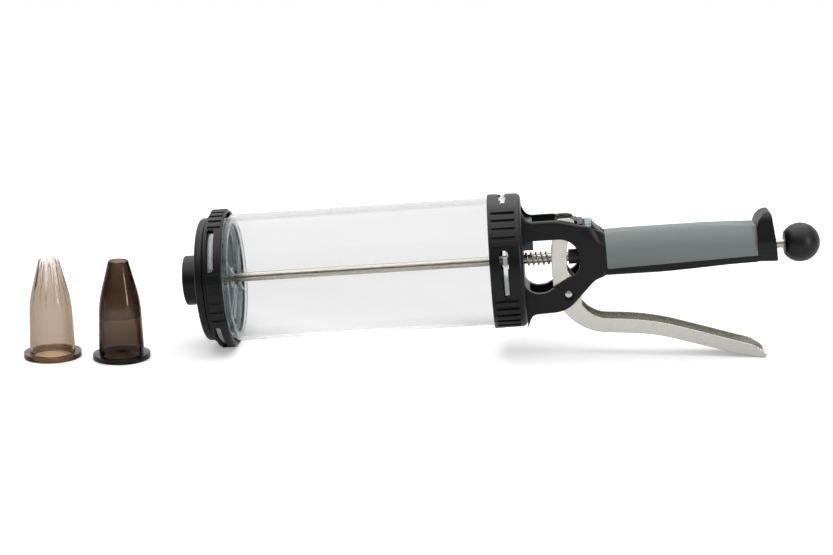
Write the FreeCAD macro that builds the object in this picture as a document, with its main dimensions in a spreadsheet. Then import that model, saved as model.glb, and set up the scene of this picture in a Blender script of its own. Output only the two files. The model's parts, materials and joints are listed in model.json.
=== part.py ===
"""Pastry syringe with a clear tank, a squeeze lever and two loose nozzles.

Every piece of the syringe is drawn in the barrel's own frame: X runs along the plunger rod from
the nose to the handle, Z is up in the plane of the lever, Y goes away from the near side, and
X = 0 is the rear edge of the nose ring. One placement then lays the syringe down on its nose ring
and lever tip. Angles round the barrel count from the near side towards the top.
"""
import FreeCAD, Part
import Sketcher
import math
import os
import re

# Driving dimensions, in millimetres or degrees
SIZES = {
    # Tank
    "tube_radius": 41.3,  # outer radius of the clear tube
    "tube_wall": 2.0,  # wall of the clear tube
    "tube_length": 194.2,  # length of the clear tube
    "tube_front": 8.4,  # how far the tube reaches into the nose ring
    "lug_height": 1.3,  # how far the tube's lugs stand out
    "lug_angle": 34,  # angle that each lug covers
    "front_lug_width": 3.2,  # width of each front lug along the barrel
    "front_lug_inset": 0.5,  # front lugs behind the tube's front edge
    "back_lug_width": 2.6,  # width of each back lug along the barrel
    "back_lug_inset": 0.6,  # back lugs in front of the rear edge of the collar's windows
    "turn_gap": 0.25,  # clearance between the tube and the rings that turn on it
    "bayonet_turn": 40,  # turn that frees a bayonet
    "notch_play": 3,  # how much wider than a lug the notch is that lets it out
    "stop_angle": 12,  # angle of each stop in a bayonet groove
    "stop_skin": 0.3,  # how far a stop stays under a ring's outer face
    "stop_sink": 0.5,  # how far a stop reaches into the walls of its groove

    # Nose ring
    "ring_radius": 44.5,  # outer radius of the nose ring
    "ring_lip": 1.9,  # front lip of the nose ring
    "lip_gap": 0.1,  # play of the nose cap under the ring's front lip
    "ring_step": 1.6,  # length of the narrow front of the nose ring
    "ring_step_radius": 41.5,  # radius of the narrow front of the nose ring
    "ring_slope": 1.0,  # slope from the narrow front to the full radius
    "ring_round": 1.1,  # rounding of the nose ring's rear edge
    "ring_front_round": 0.5,  # rounding of the nose ring's front edges
    "ring_rear_lip": 3.4,  # rear lip of the nose ring
    "ring_bars": 6,  # grip bars between two windows of the nose ring
    "bar_height": 0.8,  # how far the nose ring's grip bars stand out
    "ring_bar_inset": 1.3,  # plain edge behind the nose ring's bars
    "ring_bar_front": 2.9,  # plain edge in front of the nose ring's bars
    "bar_angle": 5.0,  # angle of one grip bar
    "bar_pitch": 8.1,  # angle from one grip bar to the next
    "window_angle": 39.5,  # angle of each window in the nose ring
    "window_width": 4.5,  # width of the windows in the nose ring
    "window_round": 2.0,  # corners of the windows in the nose ring
    "window_inset": 5.2,  # windows in front of the nose ring's rear edge
    "window_middle": 38.4,  # middle of the first window in the nose ring

    # Nose cap
    "cap_radius": 40.0,  # radius of the nose cap
    "cap_depth": 5.3,  # thickness of the nose cap's rim
    "cap_gap": 0.4,  # gap between the nose cap and the nose ring
    "cap_back_round": 0.8,  # rounding of the nose cap's rear edge
    "cap_round": 2.0,  # rounding of the nose cap's front edge
    "neck_gap": 0.4,  # clearance of the cap's neck in the ring's lip
    "neck_radius": 38.3,  # radius of the cap's neck
    "boss_radius": 16.2,  # outer radius of the nozzle boss
    "boss_length": 12.5,  # how far the boss stands out of the nose cap
    "boss_root": 1.5,  # hollow rounding at the root of the nozzle boss
    "boss_round": 0.4,  # rounding of the nozzle boss's rim
    "nozzle_bore": 14.8,  # bore radius of the nozzle boss
    "seal_plate": 1.6,  # thickness of the plate behind the nose cap
    "seal_plate_radius": 41.0,  # radius of the plate behind the nose cap
    "seat_radius": 18.6,  # radius of the recess for a nozzle's flange
    "gasket": 0.8,  # thickness of the front gasket
    "gasket_width": 3.4,  # width of the front gasket
    "cap_screw": 1.25,  # radius of the nose cap's screws
    "cap_screw_length": 6.0,  # length of the nose cap's screws
    "cap_screw_head": 2.4,  # head radius of the nose cap's screws
    "cap_screw_depth": 1.1,  # height of the heads of the nose cap's screws
    "cap_slot_depth": 0.6,  # depth of the slots in the nose cap's screws
    "cap_slot_width": 0.8,  # width of the slots in the nose cap's screws
    "cap_screw_circle": 29.0,  # radius of the circle of the nose cap's screws
    "cap_screw_count": 6,  # screws of the nose cap

    # Piston and rod
    "piston_gap": 0.7,  # clearance of the piston in the tube
    "piston_front": 7.4,  # piston face in front of the ring's rear edge
    "piston_face": 2.2,  # thickness of the piston's face
    "piston_rim": 1.9,  # wall of the piston's rim
    "piston_length": 10.0,  # length of the piston's rim
    "hub_radius": 8.0,  # radius of the piston's hub
    "hub_length": 6.9,  # length of the piston's hub
    "rib_gauge": 1.4,  # thickness of the piston's ribs
    "rib_inset": 0.8,  # ribs in front of the rim's rear edge
    "rib_count": 6,  # ribs of the piston
    "joint_sink": 1.0,  # how far ribs and spigots reach into what they are moulded to
    "seal_width": 3.0,  # width of the piston seal's groove
    "seal_side_gap": 0.1,  # clearance of the piston's seal beside the walls of its groove
    "seal_depth": 1.2,  # depth of the seal's groove
    "seal_inset": 3.6,  # seal groove behind the piston's face
    "seal_gap": 0.08,  # clearance of the piston's seal in the tube
    "rod_radius": 3.0,  # radius of the plunger rod
    "rod_round": 0.4,  # rounding of the rod's rear end
    "stud_radius": 2.5,  # radius of the rod's threaded front end
    "stud_end": 0.3,  # how far the stud stands out of its nut
    "stud_round": 0.25,  # rounding of the stud's end
    "nut_width": 8.0,  # width across the piston nut's flats
    "nut_height": 2.2,  # height of the piston nut
    "washer_radius": 6.5,  # radius of the piston's washer
    "washer_gauge": 0.6,  # thickness of the piston's washer
    "ball_radius": 12.5,  # radius of the ball knob
    "ball_flat": 7.35,  # radius of the flat face of the ball knob
    "ball_gap": 5.2,  # gap between the ball knob and the handle
    "ball_thread": 12.0,  # how far the rod enters the ball knob

    # Rear collar
    "collar_radius": 43.45,  # outer radius of the rear collar at its front
    "collar_rear_radius": 43.0,  # outer radius of the rear collar at its rear
    "collar_length": 21.2,  # length of the rear collar
    "collar_wall": 4.0,  # end wall of the rear collar
    "collar_lip": 3.0,  # front lip of the rear collar
    "collar_seat": 2.0,  # plain seat in front of the collar's end wall
    "collar_front_round": 0.6,  # rounding of the collar's front edge
    "collar_round": 3.2,  # rounding of the collar's rear edge
    "tube_gap": 0.2,  # gap between the tube and the collar's end wall
    "slot_length": 32.6,  # length of the collar's windows
    "slot_high_width": 5.8,  # width of the collar's windows at their upper end
    "slot_low_width": 3.9,  # width of the collar's windows at their lower end
    "slot_high_round": 2.6,  # corners of the windows' upper ends
    "slot_low_round": 1.7,  # corners of the windows' lower ends
    "slot_inset": 9.3,  # rear edge of the collar's windows in front of its rear face
    "slot_middle": -0.85,  # middle of the collar's first window, round the barrel
    "collar_bars": 5,  # grip bars in each of the collar's four groups
    "collar_bar_angle": 4.9,  # angle of one of the collar's grip bars
    "collar_bar_height": 1.0,  # how far the collar's grip bars stand out
    "collar_bar_middle": 0.3,  # middle between two groups of the collar's grip bars
    "collar_bar_turn": 42.7,  # from there to the middle of either group
    "collar_bar_front": 2.2,  # plain edge in front of the collar's grip bars
    "collar_bar_length": 14.8,  # length of the collar's grip bars
    "collar_screw": 1.3,  # radius of the collar's screws
    "collar_screw_head": 2.6,  # head radius of the collar's screws
    "collar_screw_depth": 1.6,  # height of the heads of the collar's screws
    "collar_screw_length": 9.0,  # length of the collar's screws
    "collar_screw_top": 20.5,  # height of the collar's upper screws
    "collar_screw_drop": 28.0,  # drop of the collar's lower screws

    # Frame, with lengths counted from the collar's rear face and heights from the rod
    "frame_width": 28.0,  # overall width of the frame
    "channel_width": 20.7,  # width between the side plates
    "frame_top": 26.6,  # height of the side plates
    "head_flare": 6.9,  # how much higher the side plates are at the collar
    "head_flare_length": 3.5,  # length of the upper flare at the collar
    "head_flare_round": 6.0,  # hollow of the upper flare
    "rail_length": 21.5,  # level stretch of the side plates' top
    "rail_round": 30.0,  # bend behind the level stretch
    "rail_end": 41.0,  # second bend of the side plates' top
    "rail_end_top": 21.7,  # height of the second bend
    "rail_end_round": 10.0,  # rounding of the second bend
    "neck_top": 15.5,  # height of the side plates at the grip insert
    "foot_drop": 42.7,  # drop of the side plates at the collar
    "foot_length": 3.6,  # length of the lower flare at the collar
    "foot_round": 5.0,  # hollow of the lower flare
    "belly_drop": 34.3,  # drop of the side plates' lower edge behind the flare
    "belly_length": 25.8,  # length of the side plates' lower edge
    "belly_rise": 0.9,  # rise of the side plates' lower edge
    "belly_round": 20.0,  # bend behind the lower edge
    "throat_length": 46.3,  # where the lower edge reaches the handle's underside
    "throat_round": 12.0,  # hollow of the throat
    "foot_gauge": 2.7,  # thickness of the frame's foot
    "neck_length": 50.0,  # from the collar to the handle
    "neck_start": 32.0,  # where the neck starts to take the handle's shape
    "neck_tall": 60.0,  # height of the straight part's envelope above and below the rod
    "neck_corner": 20.0,  # corners of that envelope that run into the handle's widest lines
    "top_edge_round": 2.0,  # rounding of the side plates' upper edges
    "low_edge_round": 2.0,  # rounding of the side plates' lower edges
    "core_start": 36.0,  # front of the solid core between the plates
    "core_low": 14.0,  # drop of the core's straight front
    "core_slant": 6.0,  # how far the core's front leans back below that
    "window_top": 14.6,  # top of the window in the side plates
    "window_length": 35.4,  # length of the window in the side plates
    "window_drop": 21.0,  # drop of the window's lower front corner
    "window_low_end": 13.5,  # where the window's lower edge bends up
    "window_low_rise": 1.0,  # rise of the window's lower edge up to there
    "window_back_drop": 8.1,  # drop of the window's lower rear corner
    "window_front_round": 6.5,  # upper front corner of the window
    "window_back_round": 12.8,  # upper rear corner of the window
    "window_heel_round": 9.0,  # lower rear corner of the window
    "window_bend_round": 8.0,  # bend of the window's lower edge
    "window_toe_round": 10.0,  # lower front corner of the window
    "crown_width": 20.0,  # width of the crown behind the dose wheel
    "crown_start": 43.0,  # front of the crown
    "crown_top": 24.2,  # height of the crown's front
    "crown_foot": 49.0,  # where the crown's slope meets the neck
    "crown_low": 17.2,  # height of the crown's foot
    "crown_end_top": 16.0,  # height of the crown at the grip insert
    "crown_round": 3.0,  # rounding of the crown's long edges
    "guide_length": 6.5,  # length of the front guide
    "guide_base": 8.0,  # height of the front guide's lower face
    "guide_top": 25.6,  # height of the front guide's upper face
    "guide_wall": 3.0,  # sides of the notch in the front guide
    "guide_notch": 4.0,  # height of the notch in the front guide
    "guide_gap": 0.3,  # gap between the front guide and the foot
    "bush_reach": 7.3,  # how far the rear bush stands in front of the core
    "bush_radius": 4.8,  # radius of the rear bush's head
    "bush_spigot": 4.4,  # radius of the bushes' spigots
    "bush_depth": 8.0,  # depth of the bushes' spigots
    "bush_fit": 0.06,  # running clearance of the rod in its bushes
    "rod_clearance": 0.4,  # clearance of the rod in the mouldings

    # Handle, with lengths counted from its front
    "handle_length": 98.2,  # length of the handle's grip
    "handle_top": 16.4,  # greatest height of the handle's crest
    "handle_front_top": 15.2,  # height of the handle's crest at its front
    "crest_rise": 28.0,  # where the handle's crest is nearly at its highest
    "crest_rise_top": 16.3,  # height of the crest there
    "crest_fall": 60.0,  # where the handle's crest starts to fall
    "handle_rear_top": 14.3,  # height of the handle's crest at the rear
    "handle_drop": 12.2,  # drop of the handle's underside
    "keel_length": 35.0,  # level stretch of the handle's underside
    "keel_rise": 80.0,  # where the underside has risen to its rear part
    "keel_rise_drop": 9.3,  # drop of the underside there
    "handle_rear_drop": 8.8,  # drop of the handle's underside at the rear
    "handle_overlap": 4.0,  # how far the handle's solid reaches into the neck
    "facet_height": 8.0,  # height of the handle's widest line
    "low_line": 4.5,  # drop of the lower line along the handle
    "low_inset": 0.4,  # lower line inside the handle's full width
    "crest_width": 13.0,  # width of the handle's crest
    "keel_width": 17.0,  # width of the handle's underside
    "facet_round": 14.0,  # rounding of the handle at its widest line
    "crest_round": 9.0,  # rounding of the handle's crest
    "low_round": 8.0,  # rounding of the handle at its lower line
    "keel_round": 5.0,  # rounding of the handle's underside
    "section_margin": 0.2,  # how far the handle's cross section reaches below its underside
    "grip_gauge": 2.2,  # thickness of the grip insert
    "grip_front": 1.4,  # black edge in front of the grip insert
    "grip_lean": 1.6,  # lean of the grip insert's front edge
    "grip_corner": 1.5,  # lower front corner of the grip insert
    "grip_drop": 7.0,  # drop of the grip insert's front corner
    "grip_rise": 3.0,  # rise of the grip insert's lower edge along the handle
    "flare_length": 13.1,  # length of the flared end of the handle
    "flare_top": 23.0,  # height of the flared end
    "flare_foot": 1.3,  # length of the steep part of the flare
    "flare_foot_top": 18.2,  # height of the steep part of the flare
    "flare_foot_round": 1.0,  # rounding behind the steep part
    "flare_bend": 5.0,  # where the flare bends towards its lip
    "flare_bend_top": 22.0,  # height of that bend
    "flare_bend_round": 3.0,  # rounding of that bend
    "flare_lip": 7.6,  # where the flare is highest
    "flare_lip_round": 1.2,  # rounding of the flare's lip
    "flare_back_top": 21.5,  # top of the flare's rear face
    "flare_back_round": 1.5,  # rounding of the top of the rear face
    "flare_lean": 3.4,  # how far the rear face leans forward
    "flare_drop": 9.4,  # drop of the flared end
    "flare_low_round": 0.8,  # rounding of the flare's lowest edge
    "flare_width": 32.0,  # width of the flared end
    "flare_waist": 3.0,  # height of the flared end's widest line
    "flare_waist_round": 9.0,  # rounding of the flared end's sides
    "flare_crest_width": 20.0,  # width of the flared end's top
    "flare_crest_round": 8.0,  # rounding of the flared end's top
    "flare_keel_round": 3.0,  # rounding of the flared end's underside

    # Lever, with lengths counted from the collar's rear face and heights from the rod
    "pivot_back": 27.3,  # pivot behind the collar
    "pivot_drop": 22.1,  # pivot below the rod
    "pin_radius": 2.7,  # radius of the lever pin
    "pin_fit": 0.06,  # running clearance of the lever on its pin
    "pin_recess": 1.0,  # how far the pin's near end lies inside the frame's side
    "pin_dome": 6.0,  # radius of the dome on the pin's near end
    "pin_hole": 3.5,  # radius of the countersunk hole round the pin's near end
    "pin_hole_depth": 2.0,  # depth of that hole
    "pin_end": 2.2,  # how far the lever pin stands out at the clip
    "clip_gauge": 0.8,  # thickness of the pin's clip
    "clip_gap": 0.2,  # gap between the clip and the frame
    "clip_groove": 0.6,  # depth of the clip's groove
    "clip_radius": 4.5,  # outer radius of the clip
    "clip_mouth": 2.4,  # opening of the clip
    "lever_width": 20.0,  # width of the lever's channel
    "lever_gauge": 1.3,  # sheet of the lever
    "web_back": 17.6,  # front face of the lever's upper arm
    "web_bend": 3.0,  # height where the upper arm starts to lean back
    "web_bend_round": 15.0,  # bend of the upper arm
    "web_lean": 2.6,  # how far the web's upper end leans back
    "web_top": 20.5,  # height of the web's upper end
    "heel_drop": 46.5,  # drop of the lever's heel
    "heel_round": 36.0,  # rounding of the lever's heel
    "back_length": 81.2,  # where the lower arm bends down
    "back_drop": 52.1,  # drop of the lower arm there
    "back_round": 130.0,  # rounding of that bend
    "tip_bend": 15.5,  # length of the levelled tip
    "tip_bend_rise": 2.9,  # rise of the levelled tip
    "tip_bend_round": 40.0,  # rounding in front of the levelled tip
    "lever_reach": 151.5,  # lever tip behind the collar
    "lever_drop": 72.6,  # lever tip below the rod
    "tip_lip": 0.6,  # how far the tip's edge leans out
    "tip_lip_rise": 2.0,  # height of the tip's edge
    "tip_nose": 2.0,  # rounded nose in front of the tip
    "tip_nose_rise": 5.0,  # height of the rounded nose
    "tip_nose_round": 6.0,  # rounding of the nose
    "tip_brow": 7.5,  # brow in front of the tip
    "tip_brow_rise": 8.7,  # height of the brow
    "tip_brow_round": 12.0,  # rounding of the brow
    "flank_back": 80.5,  # where the flank's upper edge bends down
    "flank_back_drop": 43.1,  # drop of the upper edge there
    "flank_back_round": 160.0,  # rounding of that bend
    "flank_front": 43.4,  # where the flank's upper edge turns up to the pivot
    "flank_front_drop": 39.85,  # drop of the upper edge there
    "flank_front_round": 20.0,  # hollow of that turn
    "ear_reach": 8.2,  # how far the ears reach behind the pivot
    "ear_drop": 8.8,  # how far the ears reach below the pivot
    "ear_rise": 5.1,  # how far the ears reach above the pivot
    "ear_round": 5.0,  # rounding of the ears
    "arm_depth": 9.8,  # depth of the lever's upper arm
    "arm_low": 8.0,  # drop of the upper arm's lower end
    "arm_low_round": 8.5,  # hollow between the arm and the ears
    "arm_high": 5.0,  # height where the arm's rear edge starts to lean back
    "arm_high_round": 20.0,  # hollow of that bend
    "head_foot": 29.2,  # foot of the lever's head
    "head_foot_top": 13.5,  # height of the head's foot
    "head_foot_round": 8.0,  # hollow at the head's foot
    "head_back": 33.9,  # rear edge of the lever's head
    "head_low": 20.0,  # height where the head's rear edge starts
    "head_low_round": 3.0,  # rounding at the head's widest place
    "head_top": 27.1,  # height of the lever's head
    "head_back_round": 4.5,  # upper rear corner of the head
    "head_front": 22.4,  # upper front corner of the head
    "head_front_round": 3.0,  # rounding of that corner
    "slot_side_gap": 0.4,  # clearance of the rod beside the lever's slot
    "slot_low_gap": 0.6,  # clearance of the rod above the slot's lower end
    "slot_high_gap": 4.6,  # clearance of the rod below the slot's upper end

    # Return spring
    "wire_radius": 0.55,  # wire radius of the return spring
    "coil_radius": 3.95,  # mean radius of the return spring
    "coil_count": 5,  # coils of the return spring
    "spring_gap": 0.25,  # gap between a spring and its seats

    # Drive plate and brake, with lengths counted from the collar's rear face
    "drive_front": 21.6,  # front of the drive plate
    "drive_gauge": 2.5,  # thickness of the drive plate
    "drive_width": 15.2,  # width of the drive plate
    "drive_top": 11.0,  # height of the drive plate
    "drive_drop": 8.0,  # drop of the drive plate
    "drive_pin": 1.5,  # radius of the lever's cross pin behind the drive plate
    "drive_pin_drop": 7.0,  # drop of the cross pin
    "drive_pin_gap": 0.1,  # play between the cross pin and the drive plate
    "plate_fit": 0.1,  # clearance of the rod in the drive plate
    "brake_front": 57.0,  # front wall of the brake chamber
    "brake_length": 16.0,  # length of the brake chamber
    "brake_width": 13.0,  # width of the brake chamber
    "brake_drop": 7.0,  # drop of the brake chamber
    "brake_gauge": 2.0,  # thickness of the brake plate
    "brake_gap": 1.2,  # room in front of the brake plate
    "brake_side_gap": 0.3,  # clearance of the brake plate beside and below
    "brake_top_gap": 1.5,  # clearance of the brake plate under the grip insert
    "brake_hole_gap": 0.35,  # clearance of the rod in the brake plate
    "brake_wire": 0.45,  # wire radius of the brake spring
    "brake_coil": 3.9,  # mean radius of the brake spring
    "brake_coils": 5,  # coils of the brake spring

    # Dose stop, with lengths counted from the collar's rear face
    "dose_height": 15.5,  # dose screw above the rod
    "dose_screw_radius": 2.0,  # radius of the dose screw
    "dose_fit": 0.08,  # clearance of the dose screw in its bores
    "dose_travel": 4.5,  # travel of the stop shoe
    "screw_sink": 0.5,  # how far the dose screw ends inside the shoe's front
    "shoe_gap": 0.6,  # gap between the stop shoe and the core
    "shoe_length": 6.9,  # length of the stop shoe
    "shoe_width": 14.0,  # width of the stop shoe
    "shoe_top": 24.8,  # height of the stop shoe
    "shoe_base": 13.0,  # height of the stop shoe's lower face
    "dome_radius": 9.9,  # radius of the rounded collar on the dose screw
    "dome_length": 3.2,  # length of the rounded collar on the dose screw
    "dome_gap": 0.2,  # gap behind the rounded collar on the dose screw
    "screw_reach": 1.5,  # how far the dose screw stands behind its wheel at full travel
    "screw_wall": 1.5,  # wall between the dose screw's bore and the brake chamber
    "wheel_radius": 9.0,  # radius of the dose wheel
    "wheel_width": 4.1,  # width of the dose wheel
    "wheel_front": 40.2,  # front of the dose wheel
    "wheel_gap": 0.3,  # clearance round the dose wheel
    "knurl_radius": 0.55,  # radius of one groove in the dose wheel's rim
    "knurl_count": 24,  # grooves round the dose wheel

    # Nozzles, which stand on the floor beside the nose
    "flange_radius": 18.35,  # radius of a nozzle's flange
    "flange_gauge": 3.2,  # thickness of a nozzle's flange
    "flange_low_round": 0.6,  # rounding of the flange's lower edge
    "flange_round": 1.4,  # rounding of the flange's upper edge
    "flange_root": 1.0,  # hollow above the flange
    "nozzle_radius": 14.5,  # radius of a nozzle above its flange
    "shoulder_radius": 13.3,  # radius of a nozzle's shoulder
    "shoulder_height": 37.5,  # height of a nozzle's shoulder
    "shoulder_round": 80.0,  # rounding of a nozzle's shoulder
    "shoulder_drop": 1.0,  # inner shoulder below the outer one
    "nozzle_height": 64.0,  # height of a nozzle
    "nozzle_wall": 1.3,  # wall of a nozzle
    "tip_radius": 6.4,  # radius of a nozzle's tip
    "tip_round": 0.4,  # rounding of a nozzle's tip
    "tooth_count": 8,  # teeth of the star nozzle
    "tooth_depth": 9.0,  # depth of the gaps between the teeth
    "tooth_gap": 4.0,  # width of the gaps between the teeth's tips
    "plain_forward": 68.7,  # plain nozzle in front of the nose ring's rear edge
    "plain_aside": 32.0,  # plain nozzle on the near side of the barrel
    "star_forward": 113.9,  # star nozzle in front of the nose ring's rear edge
    "star_aside": 31.0,  # star nozzle on the near side of the barrel

    # How far a cutting shape passes the face that it cuts through
    "past": 1.0,
}

doc = FreeCAD.newDocument("PastrySyringe")
sheet = doc.addObject("Spreadsheet::Sheet", "Sizes")
for row, (alias, value) in enumerate(SIZES.items(), 1):
    sheet.set(f"A{row}", alias)
    sheet.set(f"B{row}", str(value))
    sheet.setAlias(f"B{row}", alias)
doc.recompute()
kept = {}

# Places along the barrel, worked out from the sizes
TUBE_BACK = "(tube_length - tube_front)"
COLLAR_INSIDE = f"({TUBE_BACK} + tube_gap)"
FRAME = f"({COLLAR_INSIDE} + collar_wall)"
COLLAR_FRONT = f"({FRAME} - collar_length)"
HANDLE = f"({FRAME} + neck_length)"
GRIP = f"({HANDLE} + grip_front)"
HANDLE_BACK = f"({HANDLE} + handle_length)"
FLARE_BACK = f"({HANDLE_BACK} + flare_length)"
BALL_FACE = f"({FLARE_BACK} + ball_gap)"
BALL = f"({BALL_FACE} + sqrt(ball_radius ^ 2 - ball_flat ^ 2))"
CAP_BACK = "(0 - tube_front - gasket - seal_plate)"
RING_FRONT = f"({CAP_BACK} - lip_gap - ring_lip)"
BAR_FRONT = f"({RING_FRONT} + ring_bar_front)"
CAP_RIM = f"({RING_FRONT} - cap_gap)"
CAP_FRONT = f"({CAP_RIM} - cap_depth)"
BOSS_FRONT = f"({CAP_FRONT} - boss_length)"
PLATE_BACK = f"({CAP_BACK} + seal_plate)"
FRONT_LUG = "(front_lug_inset - tube_front)"
BACK_LUG = f"({FRAME} - slot_inset - back_lug_inset - back_lug_width)"
PISTON = "(0 - piston_front)"
PISTON_BACK = f"({PISTON} + piston_length)"
HUB_BACK = f"({PISTON} + hub_length)"
CORE = f"({FRAME} + core_start)"
PIVOT = f"({FRAME} + pivot_back)"
TIP = f"({FRAME} + lever_reach)"
SHOE_BACK = f"({CORE} - shoe_gap)"
DOME_BACK = f"({SHOE_BACK} + dome_length)"
WHEEL = f"({FRAME} + wheel_front)"
WHEEL_BACK = f"({WHEEL} + wheel_width)"
DRIVE = f"({FRAME} + drive_front)"
DRIVE_BACK = f"({DRIVE} + drive_gauge)"
BRAKE = f"({FRAME} + brake_front)"

# Radii and half widths, worked out from the sizes
INSIDE = "(tube_radius - tube_wall)"
TURNING = "(tube_radius + turn_gap)"
LUG_RADIUS = "(tube_radius + lug_height)"
GROOVE_RADIUS = f"({LUG_RADIUS} + turn_gap)"
BAR_RADIUS = "(ring_radius + bar_height)"
PISTON_RADIUS = f"({INSIDE} - piston_gap)"
SEAL_FLOOR = f"({PISTON_RADIUS} - seal_depth)"
HALF_FRAME = "(frame_width / 2)"
HALF_CHANNEL = "(channel_width / 2)"
HALF_LEVER = "(lever_width / 2)"
HALF_BRAKE = "(brake_width / 2)"
HALF_SHOE = "(shoe_width / 2)"
CORE_TOP = "(handle_top - grip_gauge)"

# The syringe lies on the front edge of the ring's bars and on the lever's tip
LIE = f"atan((lever_drop - {BAR_RADIUS}) / ({TIP} - {BAR_FRONT}))"
LIE_HEIGHT = f"({BAR_RADIUS} * cos({LIE}) - {BAR_FRONT} * sin({LIE}))"
LIE_X = f"((star_forward + flange_radius - {BALL} * cos({LIE}) - ball_radius) / 2)"
LIE_Y = f"((plain_aside + flange_radius - {BAR_RADIUS}) / 2)"

ALONG = FreeCAD.Rotation(FreeCAD.Vector(0, -1, 0), FreeCAD.Vector(0, 0, 1), FreeCAD.Vector(-1, 0, 0))
ACROSS = FreeCAD.Rotation(FreeCAD.Vector(1, 0, 0), -90)

TOUCH = 1e-5  # points nearer to each other than this are the same


def formula(text):
    """The same sum with each size's name pointing at its cell."""
    return re.sub(r"[a-z][a-z_0-9]+", lambda word: cell(word.group()), text)


def cell(word):
    """A size's name as a cell of the sheet, or any other word as it is."""
    return f"Sizes.{word}" if word in SIZES else word


def bind(item, name, text):
    item.setExpression(name, formula(text))


def primitive(kind, rotation, place, sizes):
    """A Part primitive with a fixed rotation and bound sizes and place."""
    item = doc.addObject(f"Part::{kind}", kind)
    item.Placement = FreeCAD.Placement(FreeCAD.Vector(), rotation)
    for axis, text in zip("xyz", place):
        bind(item, f"Placement.Base.{axis}", text)
    for name, text in sizes.items():
        bind(item, name, text)
    return item


def drum(radius, start, end, aside="0", up="0", angle="360"):
    """Round bar along the barrel, or the first part of it by angle."""
    sizes = {"Radius": radius, "Height": f"({end}) - ({start})", "Angle": angle}
    return primitive("Cylinder", ALONG, (end, aside, up), sizes)


def bore(radius, start, end, aside="0", up="0"):
    """Round bar along the barrel that cuts through both ends of its place."""
    return drum(radius, f"{start} - past", f"{end} + past", aside, up)


def peg(radius, along, up, near, far):
    """Round bar across the barrel."""
    sizes = {"Radius": radius, "Height": f"({far}) - ({near})"}
    return primitive("Cylinder", ACROSS, (along, near, up), sizes)


def block(start, end, near, far, low, high):
    sizes = {"Length": f"({end}) - ({start})", "Width": f"({far}) - ({near})"}
    sizes["Height"] = f"({high}) - ({low})"
    return primitive("Box", FreeCAD.Rotation(), (start, near, low), sizes)


def bar(start, end, half, low, high):
    """Block that reaches as far to the near side as to the far side."""
    return block(start, end, f"0 - {half}", half, low, high)


def ball(radius, along, aside="0", up="0"):
    return primitive("Sphere", FreeCAD.Rotation(), (along, aside, up), {"Radius": radius})


def group(items):
    """Several pieces held as one, or a single piece ready to be placed."""
    item = doc.addObject("Part::Compound", "Group")
    item.Links = list(items)
    return item


def turned(item, angle):
    """The item turned round the barrel's axis, from the near side towards the top."""
    copy = group([item])
    copy.Placement = FreeCAD.Placement(FreeCAD.Vector(), FreeCAD.Rotation(FreeCAD.Vector(-1, 0, 0), 1))
    bind(copy, "Placement.Rotation.Angle", angle)
    return copy


def four_round(item, angle):
    """Four copies a quarter turn apart, the first at angle."""
    return [turned(item, f"{angle} + {90 * quarter}") for quarter in range(4)]


def fuse(*items):
    item = doc.addObject("Part::MultiFuse", "Fusion")
    item.Shapes = list(items)
    item.Refine = False
    return item


def cut(base, *tools):
    item = doc.addObject("Part::Cut", "Cut")
    item.Base = base
    item.Tool = tools[0] if len(tools) == 1 else group(tools)
    item.Refine = True
    return item


def common(one, other):
    item = doc.addObject("Part::Common", "Common")
    item.Base = one
    item.Tool = other
    item.Refine = True
    return item


def origin_plane(body, role):
    return next(feature for feature in body.Origin.OriginFeatures if feature.Role == role)


def outline(body, role, corners):
    """Closed sketch with straight sides through corners, each an (across, up) pair of sums."""
    sketch = body.newObject("Sketcher::SketchObject", "Outline")
    sketch.AttachmentSupport = [(origin_plane(body, role), "")]
    sketch.MapMode = "FlatFace"
    count = len(corners)
    turn = 2 * math.pi / count
    rough = [FreeCAD.Vector(math.cos(turn * i), math.sin(turn * i), 0) for i in range(count)]
    for i in range(count):
        sketch.addGeometry(Part.LineSegment(rough[i], rough[(i + 1) % count]), False)
    for i in range(count):
        sketch.addConstraint(Sketcher.Constraint("Coincident", i, 2, (i + 1) % count, 1))
    for i, corner in enumerate(corners):
        across = sketch.addConstraint(Sketcher.Constraint("DistanceX", -1, 1, i, 1, rough[i].x))
        up = sketch.addConstraint(Sketcher.Constraint("DistanceY", -1, 1, i, 1, rough[i].y))
        bind(sketch, f"Constraints[{across}]", corner[0])
        bind(sketch, f"Constraints[{up}]", corner[1])
    return sketch


def fillet(body, feature, edges, radius):
    """Round some edges of a feature, given by their numbers from nought."""
    rounding = body.newObject("PartDesign::Fillet", "Rounding")
    rounding.Base = (feature, [f"Edge{i + 1}" for i in edges])
    bind(rounding, "Radius", radius)
    doc.recompute()
    return rounding


def edges_through(shape, point):
    vertex = Part.Vertex(point)
    return [i for i, edge in enumerate(shape.Edges) if edge.distToShape(vertex)[0] < TOUCH]


def round_corners(body, feature, sketch, corners):
    """Round every corner that gives a radius, by the edge through it in the sketch's plane."""
    place = sketch.getGlobalPlacement()
    radii = sorted({corner[2] for corner in corners if len(corner) > 2})
    for radius in radii:
        edges = []
        for i, corner in enumerate(corners):
            if corner[2:] == (radius,):
                point = place.multVec(sketch.Geometry[i].StartPoint)
                edges += edges_through(feature.Shape, point)
        feature = fillet(body, feature, edges, radius)
    return feature


def plate(corners, width):
    """Flat piece with an outline seen from the side, centred on the barrel's middle plane."""
    body = doc.addObject("PartDesign::Body", "Plate")
    sketch = outline(body, "XZ_Plane", corners)
    pad = body.newObject("PartDesign::Pad", "Pad")
    pad.Profile = sketch
    pad.Midplane = True
    bind(pad, "Length", width)
    doc.recompute()
    round_corners(body, pad, sketch, corners)
    return body


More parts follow.
